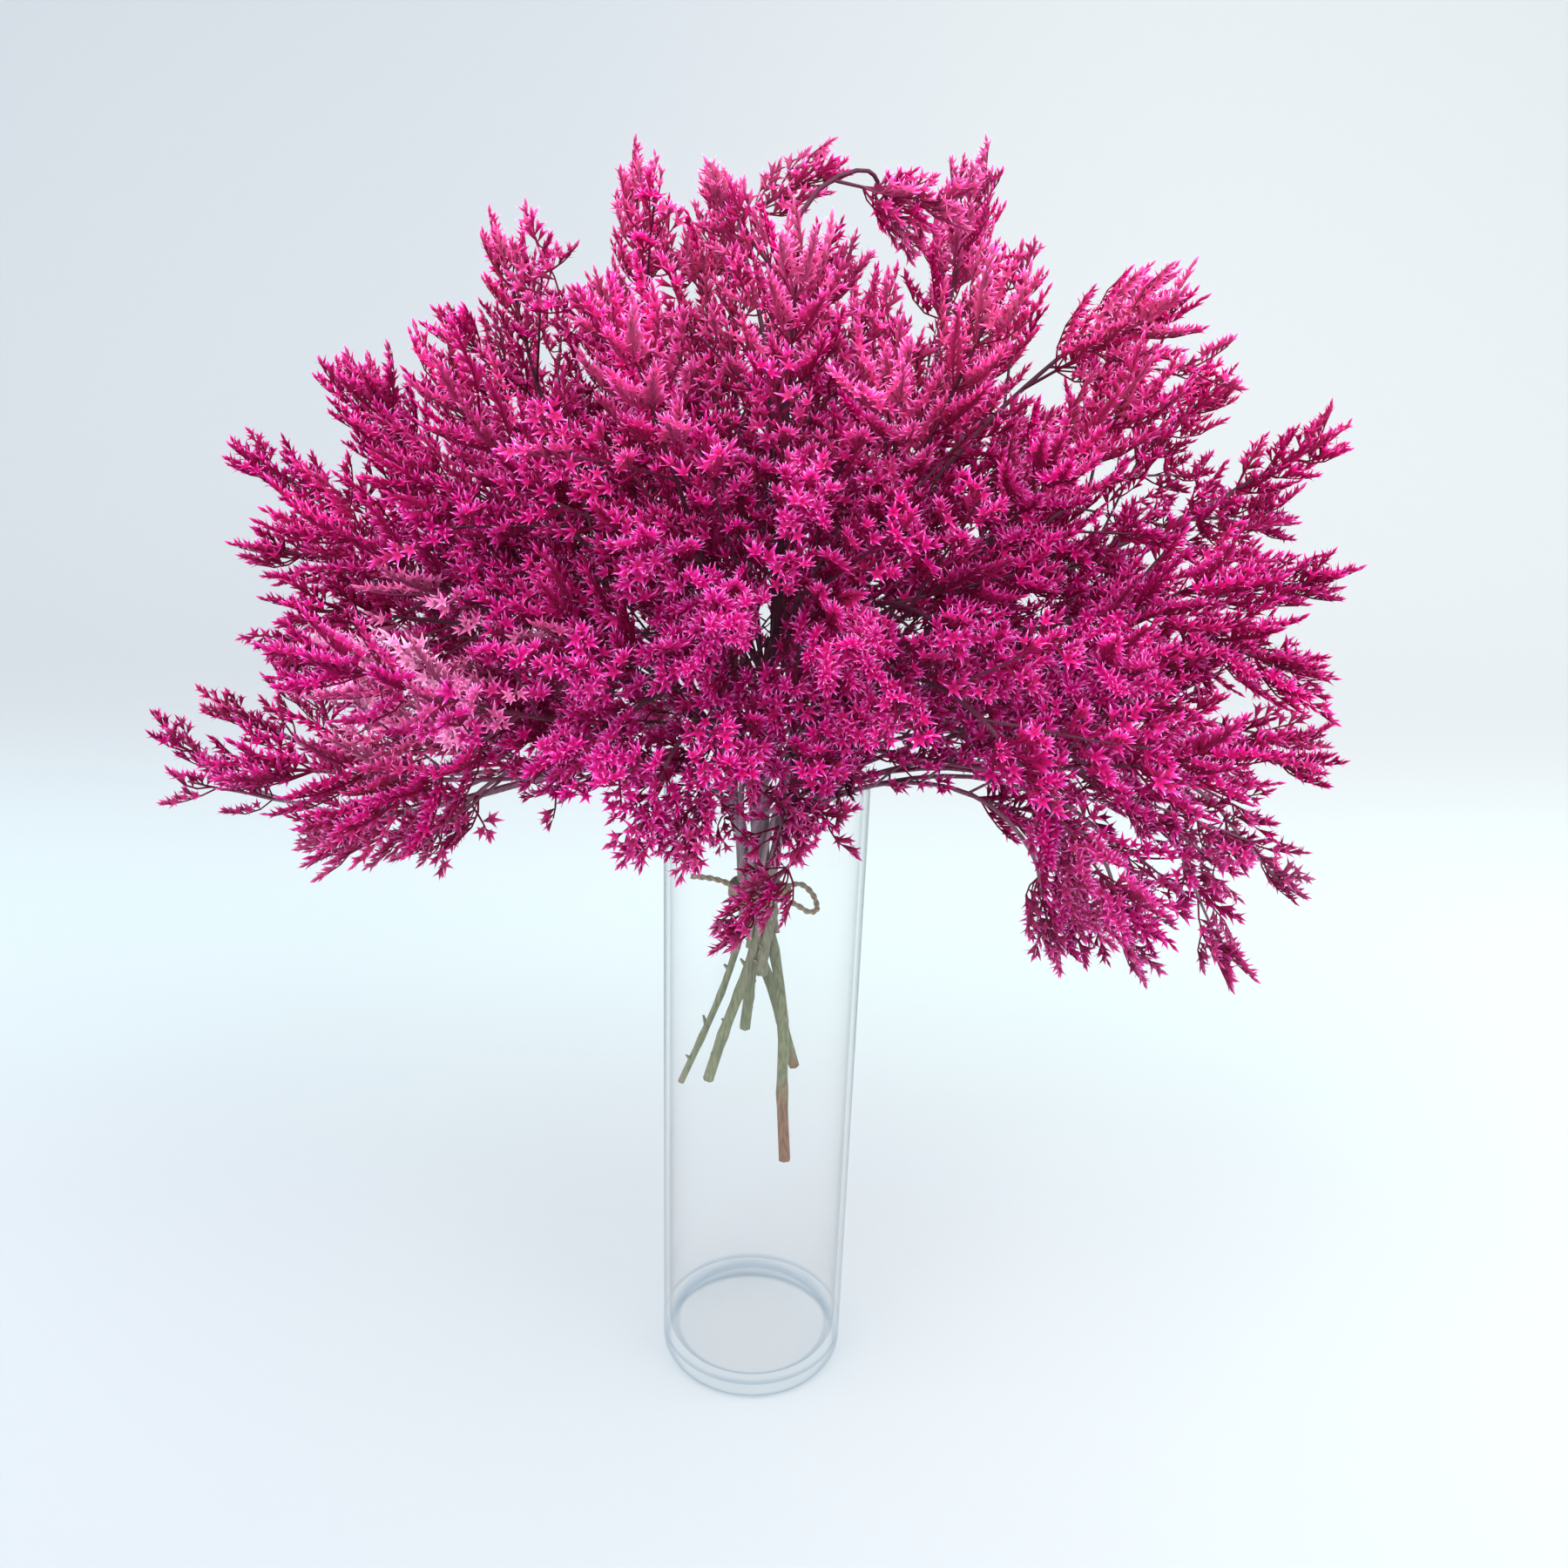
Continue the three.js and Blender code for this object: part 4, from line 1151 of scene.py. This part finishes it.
def shootRun(shoot, vary):
    # the axis of a spray, with its branch if it grows at the branch's end
    look = twigs
    axis = kinked(shoot, [share for share, _ in plumeRings], vary)
    if not shoot["atTip"]:
        line = smoothLine([shoot["base"], *axis], look["axisSteps"])
        return line, np.linspace(look["sideRadius"], look["endRadius"], len(line))
    points = shoot["branch"]["points"]
    line = eased(smoothLine([*points, *axis], look["branchSteps"]), look["easing"])
    bend = len(line) * len(points) // (len(points) + len(axis))
    return line, np.interp(np.arange(len(line)), (0, bend, len(line) - 1),
                           (look["branchRadius"], look["plumeRadius"], look["endRadius"]))


def makeTwigs(stem):
    look = twigs
    name = "statice_stem_" + stem["name"]
    vary = makeDraw(stems.index(stem) + 211)
    runs = stemRuns(stem, vary)
    for grown in [b for b in branches if b["stem"] is stem]:
        runs += [shootRun(shoot, vary) for shoot in shoots if shoot["branch"] is grown]
        for spray in slightSpraysOf(grown):
            axis = kinked(spray, look["slightKinks"], vary)
            line = smoothLine([spray["base"], *axis], look["axisSteps"])
            runs.append((line, np.linspace(look["slightRadius"], look["endRadius"], len(line))))
    finishPiece(tubeMesh(name + "_twigs", runs), twigMaterial, name, True)


for stem in stems:
    makeTwigs(stem)

glass = {"segments": 128, "lipSteps": 6, "heelSteps": 5}


def arcPoints(x, z, radius, start, stop, steps):
    angles = [math.radians(mix(start, stop, i / steps)) for i in range(steps + 1)]
    return [(x + radius * math.cos(a), z + radius * math.sin(a)) for a in angles]


def makeVase():
    inner = vase["radius"] - vase["wall"]
    lip = vase["wall"] / 2
    heel, innerHeel = vase["heel"], vase["innerHeel"]
    heelSteps = glass["heelSteps"]
    profile = [(0, 0), *arcPoints(vase["radius"] - heel, heel, heel, -90, 0, heelSteps),
               *arcPoints(vase["radius"] - lip, vase["height"] - lip, lip, 0, 180, glass["lipSteps"]),
               *arcPoints(inner - innerHeel, vase["floor"] + innerHeel, innerHeel, 0, -90, heelSteps),
               (0, vase["floor"])]
    bm = bmesh.new()
    verts = [bm.verts.new((x * mm, 0, z * mm)) for x, z in profile]
    edges = [bm.edges.new(pair) for pair in zip(verts, verts[1:])]
    bmesh.ops.spin(bm, geom=verts + edges, axis=(0, 0, 1), cent=(0, 0, 0), angle=2 * math.pi,
                   steps=glass["segments"], use_merge=True)
    bmesh.ops.remove_doubles(bm, verts=bm.verts, dist=0.001 * mm)
    bmesh.ops.recalc_face_normals(bm, faces=bm.faces)
    finishPiece(meshFrom(bm, "glass_vase"), vaseMaterial, "vase", True)


makeVase()

jute = {"ply": 0.72, "lay": 7.0, "turnSteps": 90, "bendSteps": 14, "knotSteps": 39}
tail = {"reach": 17, "rise": 8, "azimuth": 190}
bow = {"reach": 26, "drop": 6, "width": 12, "azimuth": 350, "foot": 14}
knot = (1.2, 2.2, 2.4)
offTwine = (0.13, 0.21, 0.97)                  # a direction that no part of the twine takes


def plies(line, radius):
    # two strands wound round each other along a line
    line = [np.asarray(p, float) for p in line]
    strands = [[], []]
    travelled = 0
    for i, point in enumerate(line):
        along = unit(line[min(i + 1, len(line) - 1)] - line[max(i - 1, 0)])
        side = unit(np.cross(along, offTwine))
        rise = np.cross(along, side)
        travelled += np.linalg.norm(point - line[max(i - 1, 0)])
        turn = 2 * math.pi * travelled / jute["lay"]
        offset = (side * math.cos(turn) + rise * math.sin(turn)) * (radius - jute["ply"])
        strands[0].append(point + offset)
        strands[1].append(point - offset)
    return [(strand, [jute["ply"]] * len(strand)) for strand in strands]


def makeTwine():
    # Wound round the stems, with a tail, a bow loop and a knot. Each line's points are given by distance
    # and azimuth round the middle of the tie, and by height above it.
    middle = tie["ringRadius"] + tie["stemRadius"] + twine["gap"] + twine["radius"]
    steps = jute["turnSteps"] * twine["turns"]
    height = 2 * (twine["turns"] - 1) * twine["radius"]
    wound = [at(middle, 360 * twine["turns"] * i / steps + bow["azimuth"], (i / steps - 0.5) * height)
             for i in range(steps + 1)]
    tailLine = [at(middle, tail["azimuth"] + 24, tail["rise"] * 0.3),
                at(middle + 2, tail["azimuth"] + 8, tail["rise"] * 0.6),
                at(middle + tail["reach"] / 2, tail["azimuth"] + 4, tail["rise"] * 0.9),
                at(middle + tail["reach"], tail["azimuth"], tail["rise"])]
    half = (middle + bow["reach"]) / 2
    left, right = bow["azimuth"] + bow["width"], bow["azimuth"] - bow["width"]
    bowLine = [at(middle, bow["azimuth"] + bow["foot"], 1.5), at(half, left, 3),
               at(bow["reach"] - 2, mix(bow["azimuth"], left, 0.6), -bow["drop"] * 0.2),
               at(bow["reach"], bow["azimuth"], -bow["drop"]),
               at(bow["reach"] - 3, mix(bow["azimuth"], right, 0.6), -bow["drop"]),
               at(half, right, -bow["drop"] * 0.5), at(middle, bow["azimuth"] - bow["foot"], -1)]
    knotLine = [at(middle + twine["radius"], bow["azimuth"], 0)
                + np.array([math.sin(a), math.cos(a), math.sin(2 * a)]) * knot
                for a in np.linspace(0, 2 * math.pi, jute["knotSteps"] + 1)]
    bends = [smoothLine(line, jute["bendSteps"]) for line in (tailLine, bowLine)]
    centre = np.array([tie["shift"], 0, tie["height"]])
    runs = []
    for line in (wound, *bends, knotLine):
        runs += plies([centre + point for point in line], twine["radius"])
    finishPiece(tubeMesh("jute_twine", runs), twineMaterial, "twine_tie", True)


makeTwine()

room = {
    # paper, from front to back, as shares of its length from one place to the other: painted shade makes it
    # darker in front, and painted light makes it whitest behind the bunch, where its shadow falls
    "paperWithPaintedLight": [(0.05, "B3B9BE"), (0.36, "CFD6D7"), (0.55, "D1DEDC"), (0.78, "C9CDCD")],
    "paperFrom": -600, "paperTo": 1200,
    "paintedLeftShade": "F1F2F7", "leftFrom": 600, "leftTo": -600,   # and how much duller it is on the left, as painted shade
    "width": 6000, "near": 3000, "far": 1800, "bend": 900, "bendSteps": 16, "height": 3000,
    "roughness": 0.95,
    "sky": "F6F9FF", "skyStrength": 1.25,
    "lit": 350,                                    # the height that the lamps point at
}
lamps = [
    {"place": (-1000, -700, 1500), "size": 1600, "power": 17.0, "colour": "FFFDF8"},
    {"place": (1200, -450, 1500), "size": 1600, "power": 20.0, "colour": "FFFEFA"},
]


def paperMaterial():
    # Matt background paper, whitest where it begins to sweep up and a little duller to the left: painted
    # light and shade, darker in front too.
    material, tree, shader = newMaterial("matt_background_paper")
    place = addNode(tree, "ShaderNodeTexCoord", {}).outputs["Object"]
    parts = addNode(tree, "ShaderNodeSeparateXYZ", {"Vector": place})
    depth = addNode(tree, "ShaderNodeMapRange", {
        "Value": parts.outputs["Y"], "From Min": room["paperFrom"] * mm, "From Max": room["paperTo"] * mm})
    paperWithPaintedLight = addNode(tree, "ShaderNodeValToRGB", {"Fac": depth.outputs["Result"]})
    setRamp(paperWithPaintedLight, room["paperWithPaintedLight"])
    paperWithPaintedLight.color_ramp.interpolation = "EASE"
    across = addNode(tree, "ShaderNodeMapRange", {
        "Value": parts.outputs["X"], "From Min": room["leftFrom"] * mm, "From Max": room["leftTo"] * mm},
        interpolation_type="SMOOTHSTEP")
    sided = addNode(tree, "ShaderNodeMix", {
        0: across.outputs["Result"], 6: paperWithPaintedLight.outputs["Color"], 7: linear(room["paintedLeftShade"])},
        data_type="RGBA", blend_type="MULTIPLY")
    tree.links.new(sided.outputs["Result"], shader.inputs["Base Color"])
    shader.inputs["Roughness"].default_value = room["roughness"]
    return material


def makeRoom():
    # one sheet swept up behind the object, so that no horizon shows
    bm = bmesh.new()
    bend = arcPoints(room["far"] - room["bend"], room["bend"], room["bend"], -90, 0, room["bendSteps"])
    rows = [(-room["near"], 0), *bend, (room["far"], room["height"])]
    verts = [bm.verts.new((-room["width"] / 2 * mm, y * mm, z * mm)) for y, z in rows]
    edges = [bm.edges.new(pair) for pair in zip(verts, verts[1:])]
    swept = bmesh.ops.extrude_edge_only(bm, edges=edges)["geom"]
    moved = [g for g in swept if isinstance(g, bmesh.types.BMVert)]
    bmesh.ops.translate(bm, verts=moved, vec=(room["width"] * mm, 0, 0))
    bmesh.ops.recalc_face_normals(bm, faces=bm.faces)
    mesh = meshFrom(bm, "backdrop")
    mesh.materials.append(paperMaterial())
    mesh.polygons.foreach_set("use_smooth", [True] * len(mesh.polygons))
    addObject("backdrop", mesh)


def makeLight():
    world = bpy.data.worlds.new("sky")
    world.use_nodes = True
    sky = world.node_tree.nodes["Background"]
    sky.inputs["Color"].default_value = linear(room["sky"])
    sky.inputs["Strength"].default_value = room["skyStrength"]
    bpy.context.scene.world = world
    for number, lamp in enumerate(lamps):
        data = bpy.data.lights.new("softbox_%d" % number, "AREA")
        data.shape = "SQUARE"
        data.size = lamp["size"] * mm
        data.energy = lamp["power"]
        data.color = linear(lamp["colour"])[:3]
        obj = addObject(data.name, data)
        obj.location = Vector(lamp["place"]) * mm
        aim = Vector((0, 0, room["lit"] * mm)) - obj.location
        obj.rotation_euler = aim.to_track_quat("-Z", "Y").to_euler()


makeRoom()
makeLight()
bpy.context.scene.view_settings.view_transform = "Standard"
print("room and light made")
